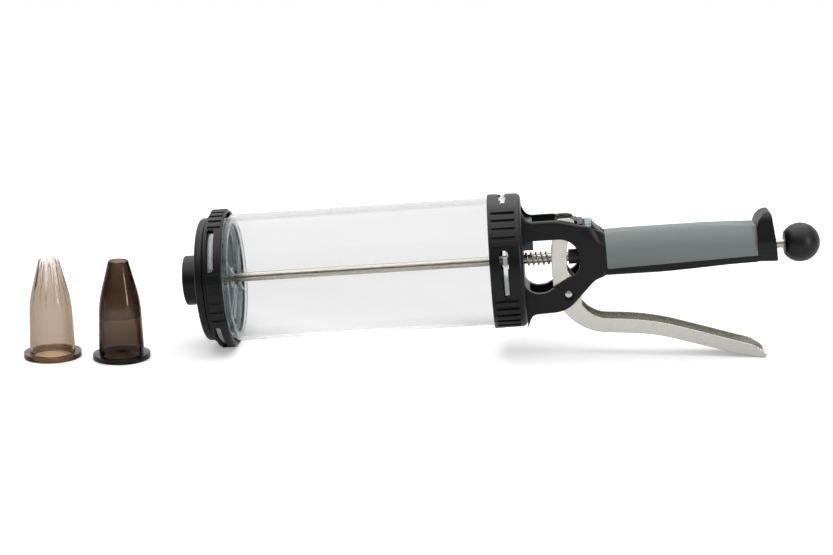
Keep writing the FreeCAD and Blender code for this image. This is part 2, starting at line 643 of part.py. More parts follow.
def round_long_edges(body, radius, upper):
    """Round the upper or the lower edges of a plate's two flat sides, all but its upright ends."""
    solid = body.Tip.Shape
    ends = [min(vertex.X for vertex in solid.Vertexes), max(vertex.X for vertex in solid.Vertexes)]
    side = max(vertex.Y for vertex in solid.Vertexes)
    edges = []
    for i, edge in enumerate(solid.Edges):
        middle = edge.CenterOfMass
        on_side = side - abs(middle.y) < TOUCH
        on_end = min(abs(middle.x - end) for end in ends) < TOUCH
        if on_side and not on_end and (middle.z > 0) == upper:
            edges.append(i)
    fillet(body, body.Tip, edges, radius)


def beam(corners, start, end):
    """Bar along the barrel with an outline seen from the end."""
    body = doc.addObject("PartDesign::Body", "Beam")
    sketch = outline(body, "YZ_Plane", corners)
    bind(sketch, "AttachmentOffset.Base.z", f"(({start}) + ({end})) / 2")
    pad = body.newObject("PartDesign::Pad", "Pad")
    pad.Profile = sketch
    pad.Midplane = True
    bind(pad, "Length", f"({end}) - ({start})")
    doc.recompute()
    round_corners(body, pad, sketch, corners)
    return body


def blend(sections):
    """Straight run between outlines seen from the end, each a list of corners with its place."""
    body = doc.addObject("PartDesign::Body", "Blend")
    sketches = []
    for corners, along in sections:
        sketch = outline(body, "YZ_Plane", corners)
        bind(sketch, "AttachmentOffset.Base.z", along)
        sketches.append(sketch)
    doc.recompute()
    loft = body.newObject("PartDesign::AdditiveLoft", "Loft")
    loft.Profile = sketches[0]
    loft.Sections = sketches[1:]
    loft.Ruled = True
    doc.recompute()
    return body


def spun(corners, axis="H_Axis"):
    """Turned piece with an (along, radius) outline, spun round the barrel's axis or round Z."""
    body = doc.addObject("PartDesign::Body", "Turning")
    sketch = outline(body, "XZ_Plane", corners)
    turning = body.newObject("PartDesign::Revolution", "Revolution")
    turning.Profile = sketch
    turning.ReferenceAxis = (sketch, [axis])
    turning.Angle = 360
    doc.recompute()
    round_corners(body, turning, sketch, corners)
    return body


def keep(node, item):
    """Name a finished piece and lay it down with the rest of the syringe."""
    item.Label = node
    item.Placement = FreeCAD.Placement(FreeCAD.Vector(), FreeCAD.Rotation(FreeCAD.Vector(0, -1, 0), 1))
    bind(item, "Placement.Rotation.Angle", LIE)
    bind(item, "Placement.Base.x", LIE_X)
    bind(item, "Placement.Base.y", LIE_Y)
    bind(item, "Placement.Base.z", LIE_HEIGHT)
    kept[node] = item


def stand(node, item, forward, aside):
    """Name a nozzle and stand it upright on the floor."""
    item.Label = node
    bind(item, "Placement.Base.x", f"{LIE_X} - {forward}")
    bind(item, "Placement.Base.y", f"{LIE_Y} - {aside}")
    kept[node] = item


def sector(inner, outer, start, end, middle, angle):
    """Part of a ring, by its middle and its angle round the barrel."""
    ring = cut(drum(outer, start, end, angle=angle), bore(inner, start, end))
    return turned(ring, f"{middle} - ({angle}) / 2")


def grip_bars(count, middle, angle, radius, start, end):
    """Group of raised bars along the barrel, as solid wedges from its axis; count names its size."""
    wedge = drum(radius, start, end, angle=angle)
    first = f"{middle} - ({count} - 1) / 2 * bar_pitch - {angle} / 2"
    return [turned(wedge, f"{first} + {i} * bar_pitch") for i in range(SIZES[count])]


def tank_tube():
    """Clear tube with four lugs at each end."""
    front = "(0 - tube_front)"
    lugs = []
    for start, width, middle in ((FRONT_LUG, "front_lug_width", "window_middle"),
                                 (BACK_LUG, "back_lug_width", "slot_middle")):
        lug = drum(LUG_RADIUS, start, f"{start} + {width}", angle="lug_angle")
        lugs += four_round(lug, f"{middle} - lug_angle / 2")
    solid = fuse(drum("tube_radius", front, TUBE_BACK), *lugs)
    keep("tank_tube", cut(solid, bore(INSIDE, front, TUBE_BACK)))


def near_hole(corners, start, end, high, radius):
    """Hole through a ring of this radius at the near side, with an outline seen from there."""
    near = block(start, end, f"0 - {radius} - past", "0 - tube_radius / 2", f"0 - {high}", high)
    return common(plate(corners, f"2 * ({radius} + past)"), near)


def ring_window():
    """Window of the nose ring, at the near side."""
    start = "(0 - window_inset - window_width)"
    end = "(0 - window_inset)"
    high = "(ring_radius * sin(window_angle / 2))"
    return near_hole([
        (start, f"0 - {high}", "window_round"),
        (end, f"0 - {high}", "window_round"),
        (end, high, "window_round"),
        (start, high, "window_round"),
    ], start, end, high, BAR_RADIUS)


def nose_ring():
    """Bayonet ring that clamps the nose cap on the tube."""
    bars = []
    for middle in range(45, 360, 90):
        bars += grip_bars("ring_bars", f"window_middle + {middle}", "bar_angle", BAR_RADIUS, BAR_FRONT,
                          "0 - ring_bar_inset")
    step_back = f"({RING_FRONT} + ring_step)"
    inner = "neck_radius / 2"
    rim = spun([
        (RING_FRONT, inner),
        (RING_FRONT, "ring_step_radius", "ring_front_round"),
        (step_back, "ring_step_radius"),
        (f"{step_back} + ring_slope", "ring_radius", "ring_front_round"),
        ("0", "ring_radius", "ring_round"),
        ("0", inner),
    ])
    groove_front = f"({FRONT_LUG} - turn_gap)"
    groove_back = "(0 - ring_rear_lip)"
    holes = [
        bore("neck_radius + neck_gap", RING_FRONT, "0"),
        drum(TURNING, f"{RING_FRONT} + ring_lip", "past"),
        drum(GROOVE_RADIUS, groove_front, groove_back),
    ]
    holes += four_round(ring_window(), "window_middle")
    notch = sector("tube_radius - past", GROOVE_RADIUS, f"{groove_back} - past", "past",
                   "window_middle - bayonet_turn", "lug_angle + notch_play")
    holes += four_round(notch, "0")
    stop = sector(TURNING, "ring_radius - stop_skin", f"{groove_front} - stop_sink",
                  f"{groove_back} + stop_sink", "window_middle - bayonet_turn / 2 - 45", "stop_angle")
    keep("nose_ring", fuse(cut(fuse(rim, *bars), *holes), *four_round(stop, "0")))


def nose_cap():
    """Front cover with the boss that a nozzle pokes through."""
    holes = screws_round("cap_screw", f"{CAP_BACK} - cap_screw_length", f"{CAP_BACK} + past")
    solid = spun([
        (CAP_BACK, "nozzle_bore"),
        (CAP_BACK, "neck_radius"),
        (CAP_RIM, "neck_radius"),
        (CAP_RIM, "cap_radius", "cap_back_round"),
        (CAP_FRONT, "cap_radius", "cap_round"),
        (CAP_FRONT, "boss_radius", "boss_root"),
        (BOSS_FRONT, "boss_radius", "boss_round"),
        (BOSS_FRONT, "nozzle_bore"),
    ])
    keep("nose_cap", cut(solid, *holes))


def all_round(item):
    """Copies on the places of the nose cap's screws."""
    count = SIZES["cap_screw_count"]
    return [turned(item, f"{i} * 360 / cap_screw_count") for i in range(count)]


def screws_round(radius, start, end):
    """Bars on the nose cap's screw circle."""
    return all_round(drum(radius, start, end, up="cap_screw_circle"))


def seal_plate():
    """Plate behind the nose cap, with the recess for a nozzle's flange."""
    ring = cut(drum("seal_plate_radius", CAP_BACK, PLATE_BACK), bore("seat_radius", CAP_BACK, PLATE_BACK))
    holes = screws_round("cap_screw", f"{CAP_BACK} - past", f"{PLATE_BACK} + past")
    heads = screws_round("cap_screw_head", f"{PLATE_BACK} - cap_screw_depth", f"{PLATE_BACK} + past")
    keep("seal_plate", cut(ring, *holes, *heads))


def cap_screws():
    """Flat screws that hold the seal plate on the nose cap."""
    up = "cap_screw_circle"
    shank = drum("cap_screw", f"{CAP_BACK} - cap_screw_length", PLATE_BACK, up=up)
    head = drum("cap_screw_head", f"{PLATE_BACK} - cap_screw_depth", PLATE_BACK, up=up)
    slot = bar(f"{PLATE_BACK} - cap_slot_depth", f"{PLATE_BACK} + past", "cap_screw_head",
               f"{up} - cap_slot_width / 2", f"{up} + cap_slot_width / 2")
    keep("cap_screws", group(all_round(cut(fuse(shank, head), slot))))


def front_gasket():
    """Soft ring between the seal plate and the tube."""
    ring = drum("seal_plate_radius", PLATE_BACK, "0 - tube_front")
    keep("front_gasket", cut(ring, bore("seal_plate_radius - gasket_width", PLATE_BACK, "0 - tube_front")))


def piston():
    """Cup-shaped piston with a hub and radial ribs, and the seal in its groove."""
    rim = drum(PISTON_RADIUS, PISTON, PISTON_BACK)
    hollow = drum(f"{SEAL_FLOOR} - piston_rim", f"{PISTON} + piston_face", f"{PISTON_BACK} + past")
    hub = drum("hub_radius", PISTON, HUB_BACK)
    rib = bar(f"{PISTON} + piston_face / 2", f"{PISTON_BACK} - rib_inset", "(rib_gauge / 2)",
              "hub_radius - joint_sink", f"{SEAL_FLOOR} - joint_sink")
    ribs = [turned(rib, f"{i} * 360 / rib_count") for i in range(SIZES["rib_count"])]
    groove_front = f"({PISTON} + seal_inset)"
    groove_back = f"({groove_front} + seal_width)"
    core = bore(SEAL_FLOOR, groove_front, groove_back)
    groove = cut(drum("tube_radius", groove_front, groove_back), core)
    hole = bore("stud_radius", PISTON, PISTON_BACK)
    keep("piston", cut(fuse(cut(rim, hollow), hub, *ribs), groove, hole))
    seal = drum(f"{INSIDE} - seal_gap", f"{groove_front} + seal_side_gap", f"{groove_back} - seal_side_gap")
    keep("piston_seal", cut(seal, core))


def plunger_rod():
    """Steel rod from the piston to the ball knob, with the nut and washer on its front end."""
    nut_back = f"({PISTON} - washer_gauge)"
    nut_front = f"({nut_back} - nut_height)"
    stud_front = f"({nut_front} - stud_end)"
    rod_end = f"({BALL_FACE} + ball_thread)"
    keep("plunger_rod", spun([
        (stud_front, "0"),
        (stud_front, "stud_radius", "stud_round"),
        (HUB_BACK, "stud_radius"),
        (HUB_BACK, "rod_radius"),
        (rod_end, "rod_radius", "rod_round"),
        (rod_end, "0"),
    ]))
    hole = bore("stud_radius", nut_front, PISTON)
    keep("piston_washer", cut(drum("washer_radius", nut_back, PISTON), hole))
    corner = "(nut_width / 2 / cos(30))"
    hexagon = [(f"{corner} * cos({60 * i})", f"{corner} * sin({60 * i})") for i in range(6)]
    keep("piston_nut", cut(beam(hexagon, nut_front, nut_back), hole))


def ball_knob():
    """Ball with a flat face where the rod enters it."""
    front = drum("ball_radius", f"{BALL_FACE} - ball_radius", BALL_FACE)
    thread = drum("rod_radius", f"{BALL_FACE} - past", f"{BALL_FACE} + ball_thread")
    keep("ball_knob", cut(cut(ball("ball_radius", BALL), front), thread))


def collar_window():
    """Tapered window of the rear collar, at the near side."""
    rear = f"{FRAME} - slot_inset"
    high = "(slot_length / 2)"
    return near_hole([
        (rear, f"0 - {high}", "slot_low_round"),
        (rear, high, "slot_high_round"),
        (f"{rear} - slot_high_width", high, "slot_high_round"),
        (f"{rear} - slot_low_width", f"0 - {high}", "slot_low_round"),
    ], COLLAR_FRONT, FRAME, high, "(collar_radius + collar_bar_height)")


def rear_collar():
    """Bayonet collar at the back of the tank, with its end wall."""
    bar_start = f"({COLLAR_FRONT} + collar_bar_front)"
    bar_end = f"{bar_start} + collar_bar_length"
    bars = []
    for side in (0, 180):
        for sign in (1, -1):
            middle = f"collar_bar_middle + {side} + {sign} * collar_bar_turn"
            bars += grip_bars("collar_bars", middle, "collar_bar_angle", "collar_radius + collar_bar_height",
                              bar_start, bar_end)
    shell = spun([
        (COLLAR_FRONT, "0"),
        (COLLAR_FRONT, "collar_radius", "collar_front_round"),
        (FRAME, "collar_rear_radius", "collar_round"),
        (FRAME, "0"),
    ])
    groove_front = f"({COLLAR_FRONT} + collar_lip)"
    groove_back = f"({COLLAR_INSIDE} - collar_seat)"
    holes = [
        drum(TURNING, f"{COLLAR_FRONT} - past", COLLAR_INSIDE),
        drum(GROOVE_RADIUS, groove_front, groove_back),
        bore("rod_radius + rod_clearance", COLLAR_INSIDE, FRAME),
    ]
    holes += four_round(collar_window(), "slot_middle")
    notch = sector("tube_radius - past", GROOVE_RADIUS, f"{COLLAR_FRONT} - past", f"{groove_front} + past",
                   "slot_middle + bayonet_turn", "lug_angle + notch_play")
    holes += four_round(notch, "0")
    holes += collar_drums("collar_screw", COLLAR_INSIDE, FRAME)
    stop = sector(TURNING, "collar_rear_radius - stop_skin", f"{groove_front} - stop_sink",
                  f"{groove_back} + stop_sink", "slot_middle + bayonet_turn / 2 + 45", "stop_angle")
    keep("rear_collar", fuse(cut(fuse(shell, *bars), *holes), *four_round(stop, "0")))


def collar_drums(radius, start, end):
    """Four round bars on the places of the collar's screws."""
    aside = "(frame_width / 4 + channel_width / 4)"
    drums = []
    for sign in (1, -1):
        for up in ("collar_screw_top", "0 - collar_screw_drop"):
            drums.append(drum(radius, start, end, aside=f"{sign} * {aside}", up=up))
    return drums


def collar_screws():
    """Four screws that hold the collar on the frame's side plates."""
    shanks = collar_drums("collar_screw", COLLAR_INSIDE, f"{COLLAR_INSIDE} + collar_screw_length")
    heads = collar_drums("collar_screw_head", f"{COLLAR_INSIDE} - collar_screw_depth", COLLAR_INSIDE)
    keep("collar_screws", group(fuse(shank, head) for shank, head in zip(shanks, heads)))


def side_plates():
    """Side plates between the collar and the handle, as one solid, with rounded long edges."""
    end = f"{GRIP} + past"
    solid = plate([
        (FRAME, "0 - foot_drop"),
        (f"{FRAME} + foot_length", "0 - belly_drop", "foot_round"),
        (f"{FRAME} + belly_length", "belly_rise - belly_drop", "belly_round"),
        (f"{FRAME} + throat_length", "0 - handle_drop", "throat_round"),
        (end, "0 - handle_drop"),
        (end, "neck_top"),
        (f"{FRAME} + rail_end", "rail_end_top", "rail_end_round"),
        (f"{FRAME} + rail_length", "frame_top", "rail_round"),
        (f"{FRAME} + head_flare_length", "frame_top", "head_flare_round"),
        (FRAME, "frame_top + head_flare"),
    ], "frame_width")
    round_long_edges(solid, "top_edge_round", True)
    round_long_edges(solid, "low_edge_round", False)
    return solid


def neck_envelope():
    """Solid that is straight along the side plates and runs into the handle's cross section."""
    heights = ("0 - neck_tall", "0 - neck_corner", "neck_corner", "neck_tall")
    near = [(f"0 - {HALF_FRAME}", up) for up in heights]
    far = [(HALF_FRAME, up) for up in reversed(heights)]
    tall = near + far
    narrow = [corner[:2] for corner in handle_section("0")]
    return blend([(tall, f"{FRAME} - past"), (tall, f"{FRAME} + neck_start"), (narrow, GRIP)])


def crown():
    """Hump behind the dose wheel."""
    end = f"{GRIP} + past"
    solid = plate([
        (f"{FRAME} + crown_start", "0"),
        (end, "0"),
        (end, "crown_end_top"),
        (f"{FRAME} + crown_foot", "crown_low", "rail_end_round"),
        (f"{FRAME} + crown_start", "crown_top"),
    ], "crown_width")
    round_long_edges(solid, "crown_round", True)
    return common(solid, bar(FRAME, GRIP, HALF_FRAME, "0", "neck_tall"))


def plate_window():
    """Rounded window through both side plates, open towards the collar."""
    front = f"{FRAME} - past"
    back = f"{FRAME} + window_length"
    return plate([
        (front, "window_top", "window_front_round"),
        (back, "window_top", "window_back_round"),
        (back, "0 - window_back_drop", "window_heel_round"),
        (f"{FRAME} + window_low_end", "window_low_rise - window_drop", "window_bend_round"),
        (front, "0 - window_drop", "window_toe_round"),
    ], "frame_width + 4 * past")


def lever_space():
    """Space between the side plates."""
    foot = f"{FRAME} + foot_gauge"
    front = f"{FRAME} - past"
    return plate([
        (foot, "0 - neck_tall"),
        (f"{CORE} + core_slant", "0 - neck_tall"),
        (CORE, "0 - core_low"),
        (CORE, "neck_tall"),
        (front, "neck_tall"),
        (front, "guide_base - guide_gap"),
        (foot, "guide_base - guide_gap"),
    ], "channel_width")


def handle_section(inset):
    """End view of the handle, drawn in by inset."""
    low = "0 - handle_drop - section_margin"
    half = f"({HALF_FRAME} - {inset})"
    crest = f"(crest_width / 2 - {inset} / 2)"
    keel = f"(keel_width / 2 - {inset} / 2)"
    near = [
        (f"0 - {keel}", low, f"keel_round - {inset}"),
        (f"0 - {half} + low_inset", "0 - low_line", f"low_round - {inset}"),
        (f"0 - {half}", "facet_height", f"facet_round - {inset}"),
        (f"0 - {crest}", f"handle_top - {inset}", f"crest_round - {inset}"),
    ]
    far = [(f"0 - ({across})", up, radius) for across, up, radius in reversed(near)]
    return near + far


def handle_side(inset):
    """Side view of the handle's grip, with its crest drawn in by inset."""
    front = f"{HANDLE} - handle_overlap"
    return [
        (front, "0 - handle_drop"),
        (f"{HANDLE} + keel_length", "0 - handle_drop"),
        (f"{HANDLE} + keel_rise", "0 - keel_rise_drop"),
        (HANDLE_BACK, "0 - handle_rear_drop"),
        (HANDLE_BACK, f"handle_rear_top - {inset}"),
        (f"{HANDLE} + crest_fall", f"handle_top - {inset}"),
        (f"{HANDLE} + crest_rise", f"crest_rise_top - {inset}"),
        (front, f"handle_front_top - {inset}"),
    ]


def handle_solid(inset):
    """Handle's grip, drawn in by inset."""
    end_view = beam(handle_section(inset), f"{HANDLE} - handle_overlap - past", f"{HANDLE_BACK} + past")
    return common(end_view, plate(handle_side(inset), "frame_width + 4 * past"))


def grip_side():
    """Side view of the area that the grip insert covers."""
    return [
        (GRIP, "neck_tall"),
        (f"{GRIP} + grip_lean", "0 - grip_drop", "grip_corner"),
        (HANDLE_BACK, "grip_rise - grip_drop"),
        (HANDLE_BACK, "neck_tall"),
    ]


def handle_and_grip():
    """Frame with its side plates and handle core, and the soft grip laid into it."""
    full = handle_solid("0")
    grip = cut(common(full, plate(grip_side(), "frame_width + 4 * past")), handle_solid("grip_gauge"))
    keep("grip_insert", group([grip]))
    neck = common(side_plates(), neck_envelope())
    solid = fuse(neck, crown(), cut(full, grip))
    keep("frame", cut(solid, lever_space(), plate_window(), *frame_holes()))


def frame_holes():
    """Bores and chambers in the frame."""
    wheel_floor = "dose_height - wheel_radius - wheel_gap"
    dome_floor = "dose_height - dome_radius - wheel_gap"
    side = f"0 - {HALF_FRAME}"
    holes = [
        bore("rod_radius + rod_clearance", FRAME, HANDLE_BACK),
        drum("bush_spigot", f"{CORE} - past", f"{CORE} + bush_depth"),
        drum("bush_spigot", f"{HANDLE_BACK} - bush_depth", f"{HANDLE_BACK} + past"),
        peg("pin_radius", PIVOT, "0 - pivot_drop", f"{side} - past", f"{HALF_FRAME} + past"),
        peg("pin_hole", PIVOT, "0 - pivot_drop", f"{side} - past", f"{side} + pin_hole_depth"),
        bar(f"{WHEEL} - wheel_gap", f"{WHEEL_BACK} + wheel_gap", HALF_CHANNEL, wheel_floor, "neck_tall"),
        bar(f"{CORE} - past", f"{DOME_BACK} + dome_gap", HALF_CHANNEL, dome_floor, "neck_tall"),
        drum("dose_screw_radius + dose_fit", CORE, f"{BRAKE} - screw_wall", up="dose_height"),
        bar(BRAKE, f"{BRAKE} + brake_length", HALF_BRAKE, "0 - brake_drop", CORE_TOP),
    ]
    return holes + collar_drums("collar_screw", f"{FRAME} - past", f"{COLLAR_INSIDE} + collar_screw_length")


def handle_cap():
    """Flared end of the handle."""
    side = [
        (HANDLE_BACK, "0 - handle_rear_drop"),
        (FLARE_BACK, "0 - flare_drop", "flare_low_round"),
        (f"{FLARE_BACK} - flare_lean", "flare_back_top", "flare_back_round"),
        (f"{HANDLE_BACK} + flare_lip", "flare_top", "flare_lip_round"),
        (f"{HANDLE_BACK} + flare_bend", "flare_bend_top", "flare_bend_round"),
        (f"{HANDLE_BACK} + flare_foot", "flare_foot_top", "flare_foot_round"),
        (HANDLE_BACK, "handle_rear_top"),
    ]
    low = "0 - flare_drop - past"
    near = [
        ("0 - keel_width / 2", low, "flare_keel_round"),
        ("0 - flare_width / 2", "flare_waist", "flare_waist_round"),
        ("0 - flare_crest_width / 2", "flare_top", "flare_crest_round"),
    ]
    far = [(f"0 - ({across})", up, radius) for across, up, radius in reversed(near)]
    end_view = beam(near + far, HANDLE_BACK, f"{FLARE_BACK} + past")
    flare = common(plate(side, "flare_width + 2 * past"), end_view)
    keep("handle_cap", cut(flare, bore("rod_radius + rod_clearance", HANDLE_BACK, FLARE_BACK)))


def bushes():
    """Guides that carry the rod between the plates and in the end of the handle."""
    head = drum("bush_radius", f"{CORE} - bush_reach", CORE)
    spigot = drum("bush_spigot", f"{CORE} - joint_sink", f"{CORE} + bush_depth")
    running = "rod_radius + bush_fit"
    keep("rear_bush", cut(fuse(head, spigot), bore(running, f"{CORE} - bush_reach", f"{CORE} + bush_depth")))
    end = drum("bush_spigot", f"{HANDLE_BACK} - bush_depth", HANDLE_BACK)
    keep("end_bush", cut(end, bore(running, f"{HANDLE_BACK} - bush_depth", HANDLE_BACK)))


def front_guide():
    """Block between the side plates, above the rod, behind the collar."""
    back = f"{FRAME} + guide_length"
    solid = bar(FRAME, back, HALF_CHANNEL, "guide_base", "guide_top")
    notch = bar(f"{FRAME} + foot_gauge", f"{back} + past", f"({HALF_CHANNEL} - guide_wall)",
                "guide_base - past", "guide_base + guide_notch")
    keep("front_guide", cut(solid, notch))


def lever_web():
    """Closed front and lower side of the lever, from the top of its web to beyond the tip."""
    web = f"{FRAME} + web_back"
    return [
        (f"{web} + web_lean", "web_top"),
        (web, "web_bend", "web_bend_round"),
        (web, "0 - heel_drop", "heel_round"),
        (f"{FRAME} + back_length", "0 - back_drop", "back_round"),
        (f"{TIP} - tip_bend", "tip_bend_rise - lever_drop", "tip_bend_round"),
        (f"{TIP} + tip_bend", "0 - tip_bend_rise - lever_drop"),
    ]


def lever_opening():
    """Open edges of the lever's flanks, from the tip back to the head."""
    back = f"{FRAME} + web_back + arm_depth"
    return [
        (TIP, "0 - lever_drop"),
        (f"{TIP} + tip_lip", "tip_lip_rise - lever_drop"),
        (f"{TIP} - tip_nose", "tip_nose_rise - lever_drop", "tip_nose_round"),
        (f"{TIP} - tip_brow", "tip_brow_rise - lever_drop", "tip_brow_round"),
        (f"{FRAME} + flank_back", "0 - flank_back_drop", "flank_back_round"),
        (f"{FRAME} + flank_front", "0 - flank_front_drop", "flank_front_round"),
        (f"{PIVOT} + ear_reach", "0 - pivot_drop - ear_drop", "ear_round"),
        (f"{PIVOT} + ear_reach", "ear_rise - pivot_drop", "ear_round"),
        (back, "0 - arm_low", "arm_low_round"),
        (back, "arm_high", "arm_high_round"),
        (f"{FRAME} + head_foot", "head_foot_top", "head_foot_round"),
        (f"{FRAME} + head_back", "head_low", "head_low_round"),
        (f"{FRAME} + head_back", "head_top", "head_back_round"),
        (f"{FRAME} + head_front", "head_top", "head_front_round"),
    ]


def channel():
    """Inside of the lever's channel: its flanks' outline, drawn in by the sheet along the closed side."""
    web = lever_web()
    beyond = web[-1][0]
    blank = plate(web + [(beyond, "neck_tall"), (FRAME, "neck_tall"), (FRAME, "head_top")], "lever_width")
    flank = max(blank.Shape.Faces, key=lambda face: face.CenterOfMass.y)
    inner = flank.makeOffset2D(-sheet.lever_gauge, 2)
    inner.translate(FreeCAD.Vector(0, -sheet.lever_gauge, 0))
    item = doc.addObject("Part::Feature", "Channel")
    item.Shape = inner.extrude(FreeCAD.Vector(0, 2 * sheet.lever_gauge - sheet.lever_width, 0))
    return item


def lever():
    """Lever of bent sheet, with a cross pin between its flanks that pushes the drive plate."""
    solid = plate(lever_web()[:-1] + lever_opening(), "lever_width")
    side = f"0 - {HALF_LEVER}"
    inner = "lever_gauge / 2"
    cross_pin = peg("drive_pin", f"{DRIVE_BACK} + drive_pin_gap + drive_pin", "0 - drive_pin_drop",
                    f"{side} + {inner}", f"{HALF_LEVER} - {inner}")
    rod_slot = bar(f"{FRAME} + web_back - past", f"{FRAME} + web_back + lever_gauge + web_lean / 2",
                   "(rod_radius + slot_side_gap)", "0 - rod_radius - slot_low_gap",
                   "rod_radius + slot_high_gap")
    pin_bore = peg("pin_radius + pin_fit", PIVOT, "0 - pivot_drop", f"{side} - past", f"{HALF_LEVER} + past")
    keep("lever", cut(fuse(cut(solid, channel()), cross_pin), rod_slot, pin_bore))


def lever_pin():
    """Pin through both plates and the lever, domed at its near end, with its clip on the far side."""
    up = "0 - pivot_drop"
    near = f"(pin_recess - {HALF_FRAME})"
    far = f"({HALF_FRAME} + pin_end)"
    clip_near = f"({HALF_FRAME} + clip_gap)"
    clip_far = f"({clip_near} + clip_gauge)"
    dome = ball("pin_dome", PIVOT, f"{near} + pin_dome", up)
    outside = cut(peg("pin_hole", PIVOT, up, f"{near} - past", f"{near} + past"), dome)
    neck = peg("pin_radius - clip_groove", PIVOT, up, HALF_FRAME, far)
    ring = cut(peg("clip_radius", PIVOT, up, clip_near, clip_far), neck)
    keep("lever_pin", cut(peg("pin_radius", PIVOT, up, near, far), outside, ring))
    mouth = block(PIVOT, f"{PIVOT} + clip_radius + past", f"{clip_near} - past", f"{clip_far} + past",
                  f"{up} - clip_mouth / 2", f"{up} + clip_mouth / 2")
    keep("pin_clip", cut(ring, mouth))


def biarc(start, start_way, end, end_way):
    """Two arcs that leave start along its direction and reach end along its own."""
    chord = end - start
    ways = start_way + end_way
    spread = 2 * (1 - start_way.dot(end_way))
    reach = (math.sqrt(chord.dot(ways) ** 2 + spread * chord.dot(chord)) - chord.dot(ways)) / spread
    middle = (start + end + (start_way - end_way) * reach) * 0.5
    return [arc(start, start_way, middle), arc(end, end_way * -1, middle)]


def arc(start, way, end):
    """Arc from start along way to end."""
    chord = end - start
    along = chord * (1 / chord.Length)
    side = way - along * way.dot(along)
    side = side * (1 / side.Length)
    rise = chord.Length / 2 * math.tan(way.getAngle(chord) / 2)
    return Part.Arc(start, start + chord * 0.5 + side * rise, end).toShape()


def coil(radius, wire_radius, start, end, count):
    """Round wire wound along the barrel, on two arcs for each quarter turn, with straight ends."""
    quarters = int(4 * count)
    rise = (end - start) / (2 * math.pi * count)
    reach = math.hypot(radius, rise)

    def point(step):
        angle = math.pi / 2 * step
        return FreeCAD.Vector(start + rise * angle, radius * math.cos(angle), radius * math.sin(angle))

    def way(step):
        angle = math.pi / 2 * step
        return FreeCAD.Vector(rise, -radius * math.sin(angle), radius * math.cos(angle)) * (1 / reach)

    lead = way(0) * (-2 * wire_radius)
    edges = [Part.LineSegment(point(0) + lead, point(0)).toShape()]
    for step in range(quarters):
        edges += biarc(point(step), way(step), point(step + 1), way(step + 1))
    tail = way(quarters) * (2 * wire_radius)
    edges.append(Part.LineSegment(point(quarters), point(quarters) + tail).toShape())
    path = Part.Wire(Part.__sortEdges__(edges))
    profile = Part.Wire(Part.makeCircle(wire_radius, point(0) + lead, way(0)))
    shell = Part.BRepOffsetAPI.MakePipeShell(path)
    shell.add(profile)
    shell.build()
    shell.makeSolid()
    return Part.Solid(shell.shape()), path


def least_gap(path, wire_radius, turn_length):
    """Least gap of a coil to itself, measured on points along its middle line."""
    points = path.discretize(Number=int(2 * path.Length / wire_radius))
    step = path.Length / (len(points) - 1)
    apart = int(turn_length / 2 / step)
    gaps = [a.distanceToPoint(b) for i, a in enumerate(points) for b in points[i + apart:]]
    return min(gaps) - 2 * wire_radius


def spring(node, radius, wire, start, end, count):
    """A compression spring round the rod, between two seats."""
    gap = sheet.spring_gap + wire
    solid, path = coil(radius, wire, start + gap, end - gap, count)
    item = doc.addObject("Part::Feature", "Spring")
    item.Shape = solid
    print(node, "least gap to itself", round(least_gap(path, wire, 2 * math.pi * radius), 3), "mm")
    keep(node, item)


def springs():
    """Return spring in front of the lever and brake spring inside the handle."""
    face = sheet.tube_length - sheet.tube_front + sheet.tube_gap + sheet.collar_wall
    lever_front = face + sheet.web_back
    spring("return_spring", sheet.coil_radius, sheet.wire_radius, face, lever_front, sheet.coil_count)
    brake_plate_back = face + sheet.brake_front + sheet.brake_gap + sheet.brake_gauge
    chamber_back = face + sheet.brake_front + sheet.brake_length
    spring("brake_spring", sheet.brake_coil, sheet.brake_wire, brake_plate_back, chamber_back,
           sheet.brake_coils)


def drive_plate():
    """Plate that the lever pushes along the rod."""
    solid = bar(DRIVE, DRIVE_BACK, "(drive_width / 2)", "0 - drive_drop", "drive_top")
    keep("drive_plate", cut(solid, bore("rod_radius + plate_fit", DRIVE, DRIVE_BACK)))


def brake_plate():
    """Plate that grips the rod when it is pushed back."""
    front = f"({BRAKE} + brake_gap)"
    back = f"({front} + brake_gauge)"
    solid = bar(front, back, f"({HALF_BRAKE} - brake_side_gap)", "brake_side_gap - brake_drop",
                f"{CORE_TOP} - brake_top_gap")
    keep("brake_plate", cut(solid, bore("rod_radius + brake_hole_gap", front, back)))


def stop_shoe():
    """Stop shoe in front of the core, with its screw and the screw's rounded collar."""
    front = f"({SHOE_BACK} - shoe_length)"
    up = "dose_height"
    shoe = bar(front, SHOE_BACK, HALF_SHOE, "shoe_base", "shoe_top")
    keep("stop_shoe", cut(shoe, bore("dose_screw_radius", front, SHOE_BACK, up=up)))
    dome = common(drum("dome_radius", SHOE_BACK, DOME_BACK, up=up),
                  bar(SHOE_BACK, DOME_BACK, HALF_SHOE, "0", "neck_tall"))
    shank_back = f"{WHEEL_BACK} + dose_travel + screw_reach"
    shank = drum("dose_screw_radius", f"{front} + screw_sink", shank_back, up=up)
    keep("dose_screw", fuse(dome, shank))


def dose_wheel():
    """Knurled wheel that moves the stop shoe."""
    rim = drum("wheel_radius", WHEEL, WHEEL_BACK, up="dose_height")
    grooves = []
    for i in range(SIZES["knurl_count"]):
        angle = f"{i} * 360 / knurl_count"
        grooves.append(bore("knurl_radius", WHEEL, WHEEL_BACK, aside=f"wheel_radius * cos({angle})",
                            up=f"dose_height + wheel_radius * sin({angle})"))
    hole = bore("dose_screw_radius + dose_fit", WHEEL, WHEEL_BACK, up="dose_height")
    keep("dose_wheel", cut(rim, *grooves, hole))


